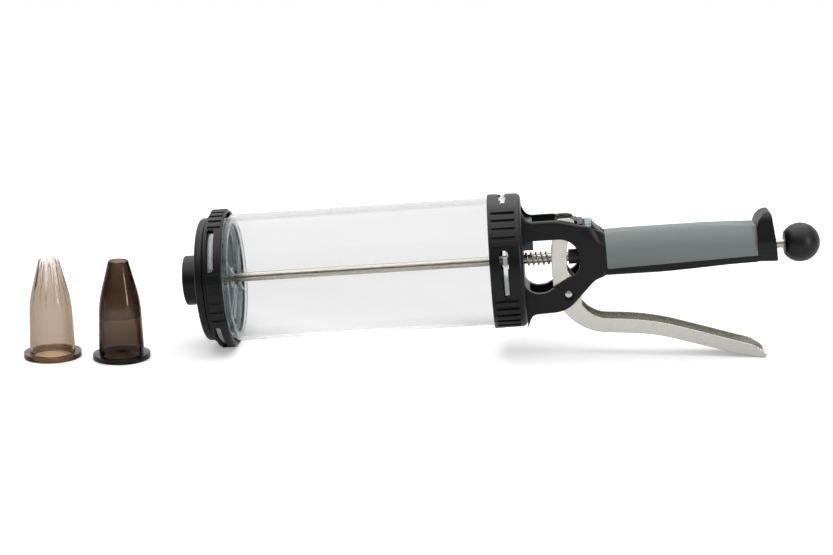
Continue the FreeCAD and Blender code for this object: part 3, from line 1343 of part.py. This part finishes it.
def nozzle_shell():
    """Hollow nozzle that stands on its flange."""
    return spun([
        ("flange_radius", "0", "flange_low_round"),
        ("flange_radius", "flange_gauge", "flange_round"),
        ("nozzle_radius", "flange_gauge", "flange_root"),
        ("shoulder_radius", "shoulder_height", "shoulder_round"),
        ("tip_radius", "nozzle_height", "tip_round"),
        ("tip_radius - nozzle_wall", "nozzle_height"),
        ("shoulder_radius - nozzle_wall", "shoulder_height - shoulder_drop", "shoulder_round"),
        ("nozzle_radius - nozzle_wall", "0"),
    ], "V_Axis")


def plain_nozzle():
    stand("plain_nozzle", group([nozzle_shell()]), "plain_forward", "plain_aside")


def star_nozzle():
    """Nozzle with pointed teeth round its mouth."""
    low = "(nozzle_height - tooth_depth)"
    high = "(nozzle_height + past)"
    half = "(tooth_gap / 2 * (1 + past / tooth_depth))"
    wedge = plate([("0", low), (half, high), (f"0 - {half}", high)], "2 * nozzle_radius")
    near = block("0 - nozzle_radius", "nozzle_radius", "0 - nozzle_radius", "0", low, high)
    gap = common(wedge, near)
    gaps = []
    for i in range(SIZES["tooth_count"]):
        copy = group([gap])
        copy.Placement = FreeCAD.Placement(FreeCAD.Vector(), FreeCAD.Rotation(FreeCAD.Vector(0, 0, 1), 1))
        bind(copy, "Placement.Rotation.Angle", f"{i} * 360 / tooth_count")
        gaps.append(copy)
    stand("star_nozzle", cut(nozzle_shell(), *gaps), "star_forward", "star_aside")


def check():
    """Stop if any object failed or any kept shape is empty or invalid."""
    for item in doc.Objects:
        if "Invalid" in item.State or "Error" in item.State:
            raise RuntimeError(f"{item.Label} failed: {item.State}")
    for node, item in kept.items():
        if item.Shape.isNull() or not item.Shape.isValid() or not item.Shape.Solids:
            raise RuntimeError(f"{node} has no valid solid")


tank_tube()
nose_ring()
nose_cap()
seal_plate()
cap_screws()
front_gasket()
piston()
plunger_rod()
ball_knob()
rear_collar()
collar_screws()
handle_and_grip()
handle_cap()
bushes()
front_guide()
lever()
lever_pin()
springs()
drive_plate()
brake_plate()
stop_shoe()
dose_wheel()
plain_nozzle()
star_nozzle()
doc.recompute()
check()

os.makedirs("parts", exist_ok=True)
for node, item in kept.items():
    item.Shape.exportStep(f"parts/{node}.step")
    box = item.Shape.BoundBox
    print(node, len(item.Shape.Solids), "solids", round(item.Shape.Volume), "mm3",
          [round(v, 1) for v in (box.XMin, box.XMax, box.YMin, box.YMax, box.ZMin, box.ZMax)])
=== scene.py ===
# %% [markdown]
# Pastry syringe in a white studio
#
# The syringe lies on its nose ring and on the tip of its lever, and its two loose nozzles stand beside
# the nose. The solids with their real sizes come packed as a frame, and this lesson gives them their
# surfaces, remakes the pieces whose looks need finer shapes, and lights the whole as in the photograph.

import json
import math

import bpy
from mathutils import Matrix, Vector


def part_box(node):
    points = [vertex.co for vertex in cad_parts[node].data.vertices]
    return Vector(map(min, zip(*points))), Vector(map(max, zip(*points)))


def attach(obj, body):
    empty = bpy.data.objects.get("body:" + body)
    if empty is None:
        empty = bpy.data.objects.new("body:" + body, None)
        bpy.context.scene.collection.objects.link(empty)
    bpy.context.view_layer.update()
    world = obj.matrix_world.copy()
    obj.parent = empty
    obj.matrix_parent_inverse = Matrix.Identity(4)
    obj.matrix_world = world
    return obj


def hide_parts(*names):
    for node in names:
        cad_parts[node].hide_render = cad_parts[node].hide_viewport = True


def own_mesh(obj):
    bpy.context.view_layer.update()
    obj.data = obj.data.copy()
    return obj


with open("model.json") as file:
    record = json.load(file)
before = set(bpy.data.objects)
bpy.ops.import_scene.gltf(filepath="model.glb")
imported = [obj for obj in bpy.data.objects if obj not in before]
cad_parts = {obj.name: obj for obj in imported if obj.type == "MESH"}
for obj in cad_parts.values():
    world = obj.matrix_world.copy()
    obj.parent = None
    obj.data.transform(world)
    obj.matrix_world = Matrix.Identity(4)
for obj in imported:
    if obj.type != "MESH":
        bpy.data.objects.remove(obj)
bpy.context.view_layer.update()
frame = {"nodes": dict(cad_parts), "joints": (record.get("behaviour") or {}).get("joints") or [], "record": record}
nodes = frame["nodes"]

# %% [markdown]
# Most pieces of a syringe share one line, the axis of the barrel. Working along that line is far easier
# than working in the tilted world, so a matrix takes barrel coordinates in millimetres, counted along
# the rod, away from the near side and up, to world metres. Two joints of the frame give its place.

# %% Barrel frame
MM = 0.001
joints = {joint["name"]: joint for joint in frame["joints"]}
ring_rear = Vector(joints["nose_ring_turn"]["pos_m"])
along = Vector(joints["plunger_slide"]["axis"]).normalized()
away = Vector((0, 1, 0))
upward = along.cross(away)
barrel = Matrix((along, away, upward)).transposed().to_4x4()
barrel = Matrix.Translation(ring_rear) @ barrel @ Matrix.Scale(MM, 4)
print("barrel leans", round(math.degrees(math.atan2(along.z, along.x)), 2), "degrees")

# %% [markdown]
# The photograph was taken from a little above, with a long lens. The camera stands where the measured
# ellipses of the rings and nozzles put it: about 1.15 m in front and 0.28 m above the nose.

# %% Camera
CAMERA_RIGHT = 0.1818
CAMERA_FRONT = 1.1368
CAMERA_ABOVE = 0.2813
CAMERA_PITCH = 13.8
CAMERA_YAW = 3.12
LENS = 77.9
camera = bpy.data.cameras.new("photo_camera")
camera.lens = LENS
camera.sensor_width = 36.0
camera_object = bpy.data.objects.new("photo_camera", camera)
bpy.context.scene.collection.objects.link(camera_object)
camera_object.location = ring_rear + Vector((CAMERA_RIGHT, -CAMERA_FRONT, CAMERA_ABOVE))
camera_object.rotation_euler = (math.radians(90 - CAMERA_PITCH), 0, math.radians(CAMERA_YAW))
bpy.context.scene.camera = camera_object
bpy.context.scene.view_settings.view_transform = "Standard"
print("camera at", [round(v, 3) for v in camera_object.location])

# %% [markdown]
# Every surface here is a small node tree. A few helpers keep the trees short to read: they turn a hex
# colour to linear light, add a node with its settings and links, and let a fine noise move the
# roughness and raise the surface. A noise mostly lies between two values round its middle.

# %% Colour and node helpers
NOISE_LOW = 0.3
NOISE_HIGH = 0.7
BEVEL_SAMPLES = 4


def linear(code):
    """Linear colour of an sRGB hex code."""
    channels = [int(code[i:i + 2], 16) / 255 for i in (1, 3, 5)]
    return tuple(c / 12.92 if c <= 0.04045 else ((c + 0.055) / 1.055) ** 2.4 for c in channels) + (1.0,)


def add_node(tree, kind, settings=None, links=None):
    """Add a node, set its properties and sockets by name, and link other sockets into it."""
    node = tree.nodes.new(kind)
    for name, value in (settings or {}).items():
        if name in node.bl_rna.properties:
            setattr(node, name, value)
        else:
            node.inputs[name].default_value = value
    for name, socket in (links or {}).items():
        tree.links.new(socket, node.inputs[name])
    return node


def start_material(name, colour, roughness, **sockets):
    """A material with a Principled shader, and its tree and shader."""
    material = bpy.data.materials.new(name)
    material.use_nodes = True
    tree = material.node_tree
    shader = tree.nodes["Principled BSDF"]
    shader.inputs["Base Color"].default_value = linear(colour)
    shader.inputs["Roughness"].default_value = roughness
    for socket, value in sockets.items():
        shader.inputs[socket.replace("_", " ")].default_value = value
    return material, tree, shader


def math_node(tree, operation, first, second):
    """Arithmetic on two sockets or numbers."""
    node = add_node(tree, "ShaderNodeMath", {"operation": operation})
    for socket, value in zip(node.inputs, (first, second)):
        if isinstance(value, float):
            socket.default_value = value
        else:
            tree.links.new(value, socket)
    return node.outputs[0]


def grain(tree, size_mm, stretch=(1, 1, 1), detail=2.0):
    """Noise whose grains are about size_mm wide, drawn longer where stretch is under 1."""
    place = add_node(tree, "ShaderNodeTexCoord")
    mapping = add_node(tree, "ShaderNodeMapping", {"Scale": stretch}, {"Vector": place.outputs["Object"]})
    scale = 1 / (size_mm * MM)
    return add_node(tree, "ShaderNodeTexNoise", {"Scale": scale, "Detail": detail},
                    {"Vector": mapping.outputs["Vector"]})


def roughness_from(tree, shader, noise, low, high):
    """Let a noise move the roughness between low and high."""
    reach = {"From Min": NOISE_LOW, "From Max": NOISE_HIGH, "To Min": low, "To Max": high}
    spread = add_node(tree, "ShaderNodeMapRange", reach, {"Value": noise.outputs["Fac"]})
    tree.links.new(spread.outputs["Result"], shader.inputs["Roughness"])


def bump_from(tree, shader, noise, depth_mm, edge_mm=0.0):
    """Raise the surface by the noise, depth_mm high, and soften its edges by edge_mm."""
    bump = add_node(tree, "ShaderNodeBump", {"Distance": depth_mm * MM}, {"Height": noise.outputs["Fac"]})
    if edge_mm:
        edge = add_node(tree, "ShaderNodeBevel", {"samples": BEVEL_SAMPLES, "Radius": edge_mm * MM})
        tree.links.new(edge.outputs["Normal"], bump.inputs["Normal"])
    tree.links.new(bump.outputs["Normal"], shader.inputs["Normal"])


# %% [markdown]
# Clear plastic lets lamps through, but a path tracer gives it the shadow of a solid. One more shader
# mends that: for shadow rays only, the surface is a plain tinted film. A dye works in the depth of the
# wall, so it is a volume that takes its share of the light on every millimetre.

# %% Clear and dyed plastic
def let_lamps_through(tree, shader, tint):
    """Turn the surface into a film of this tint for shadow rays."""
    paths = add_node(tree, "ShaderNodeLightPath")
    film = add_node(tree, "ShaderNodeBsdfTransparent", {"Color": linear(tint)})
    both = add_node(tree, "ShaderNodeMixShader")
    tree.links.new(paths.outputs["Is Shadow Ray"], both.inputs[0])
    tree.links.new(shader.outputs["BSDF"], both.inputs[1])
    tree.links.new(film.outputs["BSDF"], both.inputs[2])
    tree.links.new(both.outputs[0], tree.nodes["Material Output"].inputs["Surface"])


def dye(tree, colour, per_mm):
    """Absorb light along its way through the piece; a colour of black takes per_mm of it."""
    settings = {"Color": linear(colour), "Density": per_mm / MM}
    volume = add_node(tree, "ShaderNodeVolumeAbsorption", settings)
    tree.links.new(volume.outputs["Volume"], tree.nodes["Material Output"].inputs["Volume"])


# %% [markdown]
# The ring, cap, collar and frame are injection-moulded black ABS. The mould was spark eroded, which
# leaves a fine even grain, so the plastic is satin: edges catch a soft light and faces stay nearly black.

# %% Moulded black ABS
abs_black, tree, shader = start_material("spark_eroded_black_abs", "#0d0e0f", 0.36, IOR=1.5,
                                         Specular_IOR_Level=0.26)
erosion = grain(tree, 0.35)
roughness_from(tree, shader, erosion, 0.3, 0.42)
bump_from(tree, shader, erosion, 0.012, edge_mm=0.5)

# %% [markdown]
# The ball knob is phenolic, pressed in a polished tool and then tumbled. It is duller than the ABS, and
# its highlight is one wide soft spot.

# %% Tumbled phenolic
phenolic, tree, shader = start_material("tumbled_phenolic", "#0c0c0d", 0.4, IOR=1.6, Specular_IOR_Level=0.25)
tumbling = grain(tree, 0.6)
roughness_from(tree, shader, tumbling, 0.36, 0.46)
bump_from(tree, shader, tumbling, 0.008)

# %% [markdown]
# The grip is a thermoplastic elastomer laid into the handle. Its mould is blasted, so it scatters light
# like fine felt: the facet turned up is pale and the one turned to the camera darker, with no highlight.

# %% Blasted grey elastomer
elastomer, tree, shader = start_material("blasted_grey_elastomer", "#7b8583", 0.62, IOR=1.5,
                                         Specular_IOR_Level=0.3, Sheen_Weight=0.35, Sheen_Roughness=0.4)
blasting = grain(tree, 0.5)
roughness_from(tree, shader, blasting, 0.55, 0.7)
bump_from(tree, shader, blasting, 0.02)

# %% [markdown]
# The tank is extruded clear polycarbonate. It has almost no colour of its own, and stands out from the
# white background as an even, very pale grey. The shader is smooth glass with a low index, which keeps
# the wall's mirroring as faint as it is in the photograph.

# %% Clear polycarbonate
polycarbonate, tree, shader = start_material("clear_polycarbonate", "#ececec", 0.0, IOR=1.2,
                                             Transmission_Weight=1.0)
let_lamps_through(tree, shader, "#fbfbfb")

# %% [markdown]
# The piston is moulded in a cloudy blue-grey copolyester. Light goes through its ribs but comes out
# a little scattered, so it is nearly glass with a trace of white in it.

# %% Cloudy blue-grey copolyester
cloudy, tree, shader = start_material("cloudy_blue_grey_copolyester", "#dfe7e9", 0.02, IOR=1.2,
                                      Transmission_Weight=0.97)
bump_from(tree, shader, grain(tree, 3.0), 0.01)
let_lamps_through(tree, shader, "#c9d2d4")

# %% [markdown]
# The bushes and the guide are acetal, a slippery bearing plastic, here dyed slate. The dose wheel is the
# same plastic in a paler batch.

# %% Dyed acetal
slate_acetal, tree, shader = start_material("slate_acetal", "#2b3a42", 0.38, IOR=1.48)
bump_from(tree, shader, grain(tree, 0.8), 0.01)
pale_acetal, tree, shader = start_material("pale_blue_grey_acetal", "#a3b7ba", 0.36, IOR=1.48)
bump_from(tree, shader, grain(tree, 0.8), 0.01)

# %% [markdown]
# The rod, springs and screws are drawn stainless steel. Drawing leaves fine lines along the bar, which
# blur its reflection along its length.

# %% Drawn stainless steel
drawn_steel, tree, shader = start_material("drawn_stainless_steel", "#b9b3a8", 0.24, Metallic=1.0)
drawing = grain(tree, 0.4, stretch=(0.02, 1, 1))
roughness_from(tree, shader, drawing, 0.18, 0.34)
bump_from(tree, shader, drawing, 0.004)

# %% [markdown]
# The lever is bent from steel sheet and nickel plated. Nickel is a little warm, and the plating keeps
# the faint waves and pin pricks of the sheet under it.

# %% Nickel-plated sheet
nickel, tree, shader = start_material("nickel_plated_sheet", "#d0cec6", 0.2, Metallic=1.0)
waves = grain(tree, 6.0, detail=4.0)
roughness_from(tree, shader, waves, 0.16, 0.3)
bump_from(tree, shader, waves, 0.03, edge_mm=0.9)

# %% [markdown]
# The nozzles are moulded copolyester, one dyed brown and one smoke. A dye takes its share of the light
# over the thickness of the wall, so a wall seen edge on is darkest. Their index is low too, for a strong
# mirror at the edges would hide just that.

# %% Dyed copolyester
brown_dye, tree, shader = start_material("brown_dyed_copolyester", "#ffffff", 0.02, IOR=1.35,
                                         Transmission_Weight=1.0)
dye(tree, "#967433", 1.52)
let_lamps_through(tree, shader, "#8c7a6a")
smoke_dye, tree, shader = start_material("smoke_dyed_copolyester", "#ffffff", 0.02, IOR=1.35,
                                         Transmission_Weight=1.0)
dye(tree, "#b5935c", 0.55)
let_lamps_through(tree, shader, "#e6ddd0")

# %% [markdown]
# The tank's lugs are thicker than its wall and stand in a dark ring, so they are seen by what they mirror: the
# same plastic with its full gloss, and a pale, half diffuse share painted in for the light they mirror, which is a
# painted reflection.

# %% Polycarbonate lugs
lug_painted_pale, tree, shader = start_material("clear_polycarbonate_lug_painted_pale", "#eef1f2", 0.12, IOR=1.586,
                                     Transmission_Weight=0.55)

# %% [markdown]
# Inside the lever's channel the plating is rougher, and its darker, grey brown colour is painted shade of the
# channel with a painted brown reflection in it.

# %% Painted shade in the lever's channel
channel_painted_shade, tree, shader = start_material("nickel_channel_painted_shade", "#736656", 0.34, Metallic=1.0)
rolling = grain(tree, 1.5, stretch=(0.1, 1, 1), detail=3.0)
roughness_from(tree, shader, rolling, 0.3, 0.5)
bump_from(tree, shader, rolling, 0.02)

# %% [markdown]
# The dose screw is blackened steel, which mirrors only faintly.

# %% Blackened steel
blackened, tree, shader = start_material("blackened_steel", "#4c4c50", 0.34, Metallic=1.0)
oxide = grain(tree, 0.5)
roughness_from(tree, shader, oxide, 0.28, 0.44)
bump_from(tree, shader, oxide, 0.004)

# %% [markdown]
# The seals are moulded silicone: soft, pale and slightly cloudy.

# %% Moulded silicone
silicone, tree, shader = start_material("moulded_silicone", "#c9cdcd", 0.45, IOR=1.41)
bump_from(tree, shader, grain(tree, 1.2), 0.01)

# %% [markdown]
# A imported node keeps its mesh and only gets a surface. Two nodes get a second one on some faces: the tube on its
# lugs, which stand out from its wall, a pale copy of its plastic as a painted reflection, and the lever inside its
# channel, a darker copy of its nickel as painted shade.

# %% Dress the imported nodes
FINISHES = {
    "black_plastic": abs_black,
    "ball_plastic": phenolic,
    "grey_rubber": elastomer,
    "clear_plastic": polycarbonate,
    "blue_grey_plastic": cloudy,
    "slate_plastic": slate_acetal,
    "seal_rubber": silicone,
    "steel": drawn_steel,
    "polished_steel": nickel,
    "brown_plastic": brown_dye,
    "smoke_plastic": smoke_dye,
}


def dress(item, material):
    """Give an object one surface."""
    item.data.materials.clear()
    item.data.materials.append(material)


for part in frame["record"]["subparts"]:
    dress(nodes[part["node"]], FINISHES[part["material_slot"]])
dress(nodes["dose_wheel"], pale_acetal)
dress(nodes["dose_screw"], blackened)


def dress_faces(item, material, wanted):
    """Give the faces whose every corner is wanted, in barrel millimetres, a second surface."""
    item.data.materials.append(material)
    slot = len(item.data.materials) - 1
    to_barrel = barrel.inverted()
    corners = [wanted(to_barrel @ corner.co) for corner in item.data.vertices]
    faces = [face for face in item.data.polygons if all(corners[i] for i in face.vertices)]
    for face in faces:
        face.material_index = slot
    print(item.name, material.name, len(faces), "faces")


LUG_FROM = 41.4
LEVER_INSIDE = 8.6
# The lugs get the pale copy of the plastic, which is a painted reflection.
dress_faces(nodes["tank_tube"], lug_painted_pale, lambda place: math.hypot(place.y, place.z) > LUG_FROM)
# The channel's inner faces get the darker copy of the nickel, which is painted shade.
dress_faces(nodes["lever"], channel_painted_shade, lambda place: abs(place.y) < LEVER_INSIDE)

# %% [markdown]
# The two nozzles are seen through, so the shape of their inside matters as much as the outside. Each is
# an outline of its wall, built corner by corner and spun round the nozzle's own axis. Where the cone
# starts, the outside turns gently, and the inside of the plain one has a small step. Their sizes are in
# millimetres.

# %% Tools for the nozzles
SPIN_STEPS = 96
FLANGE_RADIUS = 18.35
FLANGE_GAUGE = 3.2
ROOT_RADIUS = 14.5
SHOULDER_RADIUS = 13.3
SHOULDER_HEIGHT = 37.5
SHOULDER_REACH = 8.8
SHOULDER_POINTS = 7
INNER_DROP = 1.0
NOZZLE_HEIGHT = 64.0
TIP_RADIUS = 6.4
WALL = 1.3
STAR_TIP_WALL = 0.75
PLAIN_STEP = [(12.2, 28.2), (12.65, 27.9)]
MERGE = 0.002
SMOOTH_ANGLE = math.radians(35)


def deselect():
    """Leave nothing selected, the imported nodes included."""
    bpy.ops.object.select_all(action="DESELECT")


def softened(before, corner, after, reach):
    """Points of a gentle bend at a corner, reach long on each side."""
    before, corner, after = Vector(before), Vector(corner), Vector(after)
    start = corner + (before - corner).normalized() * reach
    end = corner + (after - corner).normalized() * reach
    shares = [i / (SHOULDER_POINTS - 1) for i in range(SHOULDER_POINTS)]
    return [tuple(start * (1 - s) ** 2 + corner * 2 * s * (1 - s) + end * s ** 2) for s in shares]


def spun(name, outline):
    """A round piece from its wall's outline, whose points are (radius, height) in millimetres."""
    deselect()
    bpy.ops.mesh.primitive_plane_add(size=MM, location=(0, 0, 0))
    piece = bpy.context.object
    piece.name = name
    bpy.ops.object.mode_set(mode="EDIT")
    bpy.ops.mesh.merge(type="CENTER")
    here = Vector((outline[0][0] * MM, 0, outline[0][1] * MM))
    bpy.ops.transform.translate(value=here)
    for radius, height in outline[1:] + outline[:1]:
        there = Vector((radius * MM, 0, height * MM))
        bpy.ops.mesh.extrude_region_move(TRANSFORM_OT_translate={"value": there - here})
        here = there
    bpy.ops.mesh.select_all(action="SELECT")
    bpy.ops.mesh.spin(steps=SPIN_STEPS, angle=math.tau, center=(0, 0, 0), axis=(0, 0, 1))
    bpy.ops.mesh.select_all(action="SELECT")
    bpy.ops.mesh.remove_doubles(threshold=MERGE * MM)
    bpy.ops.mesh.normals_make_consistent(inside=False)
    bpy.ops.object.mode_set(mode="OBJECT")
    return piece


def select_only(piece):
    """Make one piece the selected and active one."""
    deselect()
    bpy.context.view_layer.objects.active = piece
    piece.select_set(True)


def apply_modifier(piece, kind, **settings):
    """Add one modifier, set it and apply it."""
    select_only(piece)
    modifier = piece.modifiers.new(kind.lower(), kind)
    for name, value in settings.items():
        setattr(modifier, name, value)
    bpy.ops.object.modifier_apply(modifier=modifier.name)


def settle(piece, place):
    """Take the piece to its place in the world, by its mesh, and shade it smooth."""
    select_only(piece)
    piece.location = place
    bpy.ops.object.transform_apply(location=True, rotation=True, scale=True)
    bpy.ops.object.shade_smooth_by_angle(angle=SMOOTH_ANGLE)


def nozzle_outline(tip_wall, steps):
    """Outline of a nozzle's wall: flange, root, cone, tip, and back down the inside by some steps."""
    root = (ROOT_RADIUS, FLANGE_GAUGE)
    shoulder = (SHOULDER_RADIUS, SHOULDER_HEIGHT)
    tip = (TIP_RADIUS, NOZZLE_HEIGHT)
    mouth = (TIP_RADIUS - tip_wall, NOZZLE_HEIGHT)
    inner_shoulder = (SHOULDER_RADIUS - WALL, SHOULDER_HEIGHT - INNER_DROP)
    foot = (ROOT_RADIUS - WALL, 0.0)
    flange = [(FLANGE_RADIUS, 0.0), (FLANGE_RADIUS, FLANGE_GAUGE)]
    outer_bend = softened(root, shoulder, tip, SHOULDER_REACH)
    inner_bend = softened(mouth, inner_shoulder, foot, SHOULDER_REACH - INNER_DROP)
    return flange + [root] + outer_bend + [tip, mouth] + inner_bend + steps + [foot]


# %% [markdown]
# The plain nozzle is that and no more, with its edges rounded as the mould leaves them.

# %% Plain nozzle
EDGE_ROUND = 0.45
EDGE_SEGMENTS = 3
EDGE_ANGLE = math.radians(40)


def standing_at(node):
    """The floor point under a nozzle's axis."""
    low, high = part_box(node)
    return Vector(((low[0] + high[0]) / 2, (low[1] + high[1]) / 2, 0.0))


plain = spun("plain_nozzle_moulded", nozzle_outline(WALL, PLAIN_STEP))
apply_modifier(plain, "BEVEL", width=EDGE_ROUND * MM, segments=EDGE_SEGMENTS, limit_method="ANGLE",
               angle_limit=EDGE_ANGLE)
settle(plain, standing_at("plain_nozzle"))
dress(plain, brown_dye)
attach(plain, "plain_tip")
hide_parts("plain_nozzle")

# %% [markdown]
# The star nozzle gets eight notches round its mouth, cut by wedges, and under each notch a flute that
# starts as a point below the shoulder and grows towards the mouth. The flutes are cut by long thin cones
# that lie along the wall. All of them run a little past the mouth.

# %% Star nozzle
TEETH = 8
FIRST_TOOTH = math.radians(1.7)
NOTCH_DEPTH = 9.0
NOTCH_WIDTH = 4.0
NOTCH_CORNERS = 4
NOTCH_REACH = 1.6
FLUTE_START = 31.0
FLUTE_WIDTH = 3.0
FLUTE_SIDES = 25
START_LIFT = 0.35
END_LIFT = 0.75
PAST = 3.0
NOTCH_END = NOTCH_WIDTH * (NOTCH_DEPTH + PAST) / NOTCH_DEPTH


def cutting_cone(sides, radius, height):
    """A cone on its point, in millimetres, that will cut a notch or a flute."""
    deselect()
    bpy.ops.mesh.primitive_cone_add(vertices=sides, radius1=0.0, radius2=radius * MM, depth=height * MM)
    return bpy.context.object


def carve(piece, tool):
    """Cut the tool out of the piece and delete it."""
    apply_modifier(piece, "BOOLEAN", operation="DIFFERENCE", object=tool, solver="EXACT")
    bpy.data.objects.remove(tool)


def wall_point(height, lift):
    """A point at this height, lift outside the cone's wall."""
    share = (height - SHOULDER_HEIGHT) / (NOZZLE_HEIGHT - SHOULDER_HEIGHT)
    radius = SHOULDER_RADIUS + (TIP_RADIUS - SHOULDER_RADIUS) * max(share, 0.0)
    return Vector((0, -radius - lift, height))


star = spun("star_nozzle_moulded", nozzle_outline(STAR_TIP_WALL, []))
for i in range(TEETH):
    turn = Matrix.Rotation(i * math.tau / TEETH + FIRST_TOOTH, 4, "Z")
    notch = cutting_cone(NOTCH_CORNERS, NOTCH_END / 2, NOTCH_DEPTH + PAST)
    middle = Vector((0, -TIP_RADIUS, NOZZLE_HEIGHT + (PAST - NOTCH_DEPTH) / 2)) * MM
    notch.matrix_world = turn @ Matrix.Translation(middle) @ Matrix.Diagonal((1, NOTCH_REACH, 1, 1))
    carve(star, notch)
    start = wall_point(FLUTE_START, START_LIFT)
    end = wall_point(NOZZLE_HEIGHT + PAST, END_LIFT)
    run = end - start
    flute = cutting_cone(FLUTE_SIDES, FLUTE_WIDTH / 2, run.length)
    lean = run.to_track_quat("Z", "X").to_matrix().to_4x4()
    flute.matrix_world = turn @ Matrix.Translation((start + end) / 2 * MM) @ lean
    carve(star, flute)
settle(star, standing_at("star_nozzle"))
dress(star, smoke_dye)
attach(star, "star_tip")
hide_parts("star_nozzle")
print("nozzles", len(plain.data.polygons), len(star.data.polygons), "faces")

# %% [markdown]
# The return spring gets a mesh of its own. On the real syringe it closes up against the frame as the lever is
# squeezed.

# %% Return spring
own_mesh(nodes["return_spring"])

# %% [markdown]
# The floor is white paper, and the photograph was exposed until it was all but blown out, so only the
# deepest shadows still show. For the camera the paper is therefore drawn lighter than it is, and from
# about half a metre out it fades to pure white, while it lights the object as plain paper would.

# %% White floor
FLOOR_SIZE = 12.0
FLOOR_DROP = 0.0002
FLOOR_GLOW = 0.3
PAPER = 0.6
PAPER_MIRRORED = 0.85
PAPER_SEEN = 1.35
PAPER_THROUGH = 1.05
FADE_START = 0.45
FADE_END = 1.3
deselect()
bpy.ops.mesh.primitive_plane_add(size=FLOOR_SIZE, location=(0, 0, -FLOOR_DROP))
floor = bpy.context.object
floor.name = "floor"
floor_white = bpy.data.materials.new("matt_white_paper")
floor_white.use_nodes = True
tree = floor_white.node_tree
tree.nodes.clear()
paths = add_node(tree, "ShaderNodeLightPath")
glow = add_node(tree, "ShaderNodeEmission", {"Color": (1, 1, 1, 1), "Strength": 1.0})
place = add_node(tree, "ShaderNodeTexCoord")
reach = add_node(tree, "ShaderNodeVectorMath", {"operation": "LENGTH"})
tree.links.new(place.outputs["Object"], reach.inputs[0])
fade = add_node(tree, "ShaderNodeMapRange", {"From Min": FADE_START, "From Max": FADE_END},
                {"Value": reach.outputs["Value"]})
tone = PAPER
for ray, shade in (("Is Glossy Ray", PAPER_MIRRORED), ("Is Transmission Ray", PAPER_THROUGH),
                   ("Is Camera Ray", PAPER_SEEN)):
    tone = math_node(tree, "MAXIMUM", tone, math_node(tree, "MULTIPLY", paths.outputs[ray], shade))
paper = add_node(tree, "ShaderNodeBsdfDiffuse", {}, {"Color": tone})
glow_share = math_node(tree, "MULTIPLY", paths.outputs["Is Camera Ray"], FLOOR_GLOW)
glow_share = math_node(tree, "MAXIMUM", glow_share, fade.outputs["Result"])
plain_ray = math_node(tree, "MAXIMUM", paths.outputs["Is Diffuse Ray"], paths.outputs["Is Shadow Ray"])
share = math_node(tree, "MULTIPLY", glow_share, math_node(tree, "SUBTRACT", 1.0, plain_ray))
both = add_node(tree, "ShaderNodeMixShader")
tree.links.new(share, both.inputs[0])
tree.links.new(paper.outputs[0], both.inputs[1])
tree.links.new(glow.outputs[0], both.inputs[2])
add_node(tree, "ShaderNodeOutputMaterial", {}, {"Surface": both.outputs[0]})
dress(floor, floor_white)

# %% [markdown]
# The studio is white behind and above the object, and dim behind the photographer. The world gives the
# same: it is white for the camera and through glass, gloss finds it dim low on the near side and white
# from about half way up, and what it gives to dull surfaces is even all round.

# %% White world
SKY_LIGHT = 0.3
DIM_ROOM = 0.06
DIM_TOP = 0.25
WHITE_FROM = 0.75
WHITE_BEHIND = 0.4
world = bpy.data.worlds.new("white_studio")
bpy.context.scene.world = world
world.use_nodes = True
tree = world.node_tree
tree.nodes.clear()
paths = add_node(tree, "ShaderNodeLightPath")
direction = add_node(tree, "ShaderNodeTexCoord")
axes = add_node(tree, "ShaderNodeSeparateXYZ", {}, {"Vector": direction.outputs["Generated"]})
brightening = {"From Min": DIM_TOP, "From Max": WHITE_FROM, "To Min": DIM_ROOM}
above = add_node(tree, "ShaderNodeMapRange", brightening, {"Value": axes.outputs["Z"]})
behind = add_node(tree, "ShaderNodeMapRange", {"From Max": WHITE_BEHIND}, {"Value": axes.outputs["Y"]})
room = math_node(tree, "MAXIMUM", above.outputs["Result"], behind.outputs["Result"])
seen = math_node(tree, "MAXIMUM", paths.outputs["Is Camera Ray"], paths.outputs["Is Transmission Ray"])
lit = add_node(tree, "ShaderNodeMapRange", {"To Min": SKY_LIGHT}, {"Value": seen})
level = add_node(tree, "ShaderNodeMix", {"data_type": "FLOAT"})
tree.links.new(paths.outputs["Is Glossy Ray"], level.inputs[0])
tree.links.new(lit.outputs["Result"], level.inputs[2])
tree.links.new(room, level.inputs[3])
white = add_node(tree, "ShaderNodeBackground", {"Color": (1, 1, 1, 1)}, {"Strength": level.outputs[0]})
add_node(tree, "ShaderNodeOutputWorld", {}, {"Surface": white.outputs[0]})

# %% [markdown]
# One very large soft box overhead gives the even light of a product photograph. It is not much brighter
# than the white room, so clear plastic mirrors it without bands. A narrow upright one in front on the
# right draws the long highlights on round and glossy pieces. A size here is in metres, a power in watts.

# %% Soft boxes
def soft_box(name, place, target, size, power):
    """A flat lamp, size wide and high in metres, that looks at target."""
    lamp = bpy.data.lights.new(name, "AREA")
    lamp.shape = "RECTANGLE"
    lamp.size, lamp.size_y = size
    lamp.energy = power
    lamp_object = bpy.data.objects.new(name, lamp)
    bpy.context.scene.collection.objects.link(lamp_object)
    lamp_object.location = place
    lamp_object.rotation_euler = (Vector(target) - Vector(place)).to_track_quat("-Z", "Y").to_euler()


soft_box("overhead_box", (-0.05, 0.2, 1.3), (0, 0, 0), (2.2, 2.2), 26.0)
soft_box("strip_box", (1.0, -0.8, 0.4), (-0.1, 0, 0.06), (0.07, 0.7), 4.5)
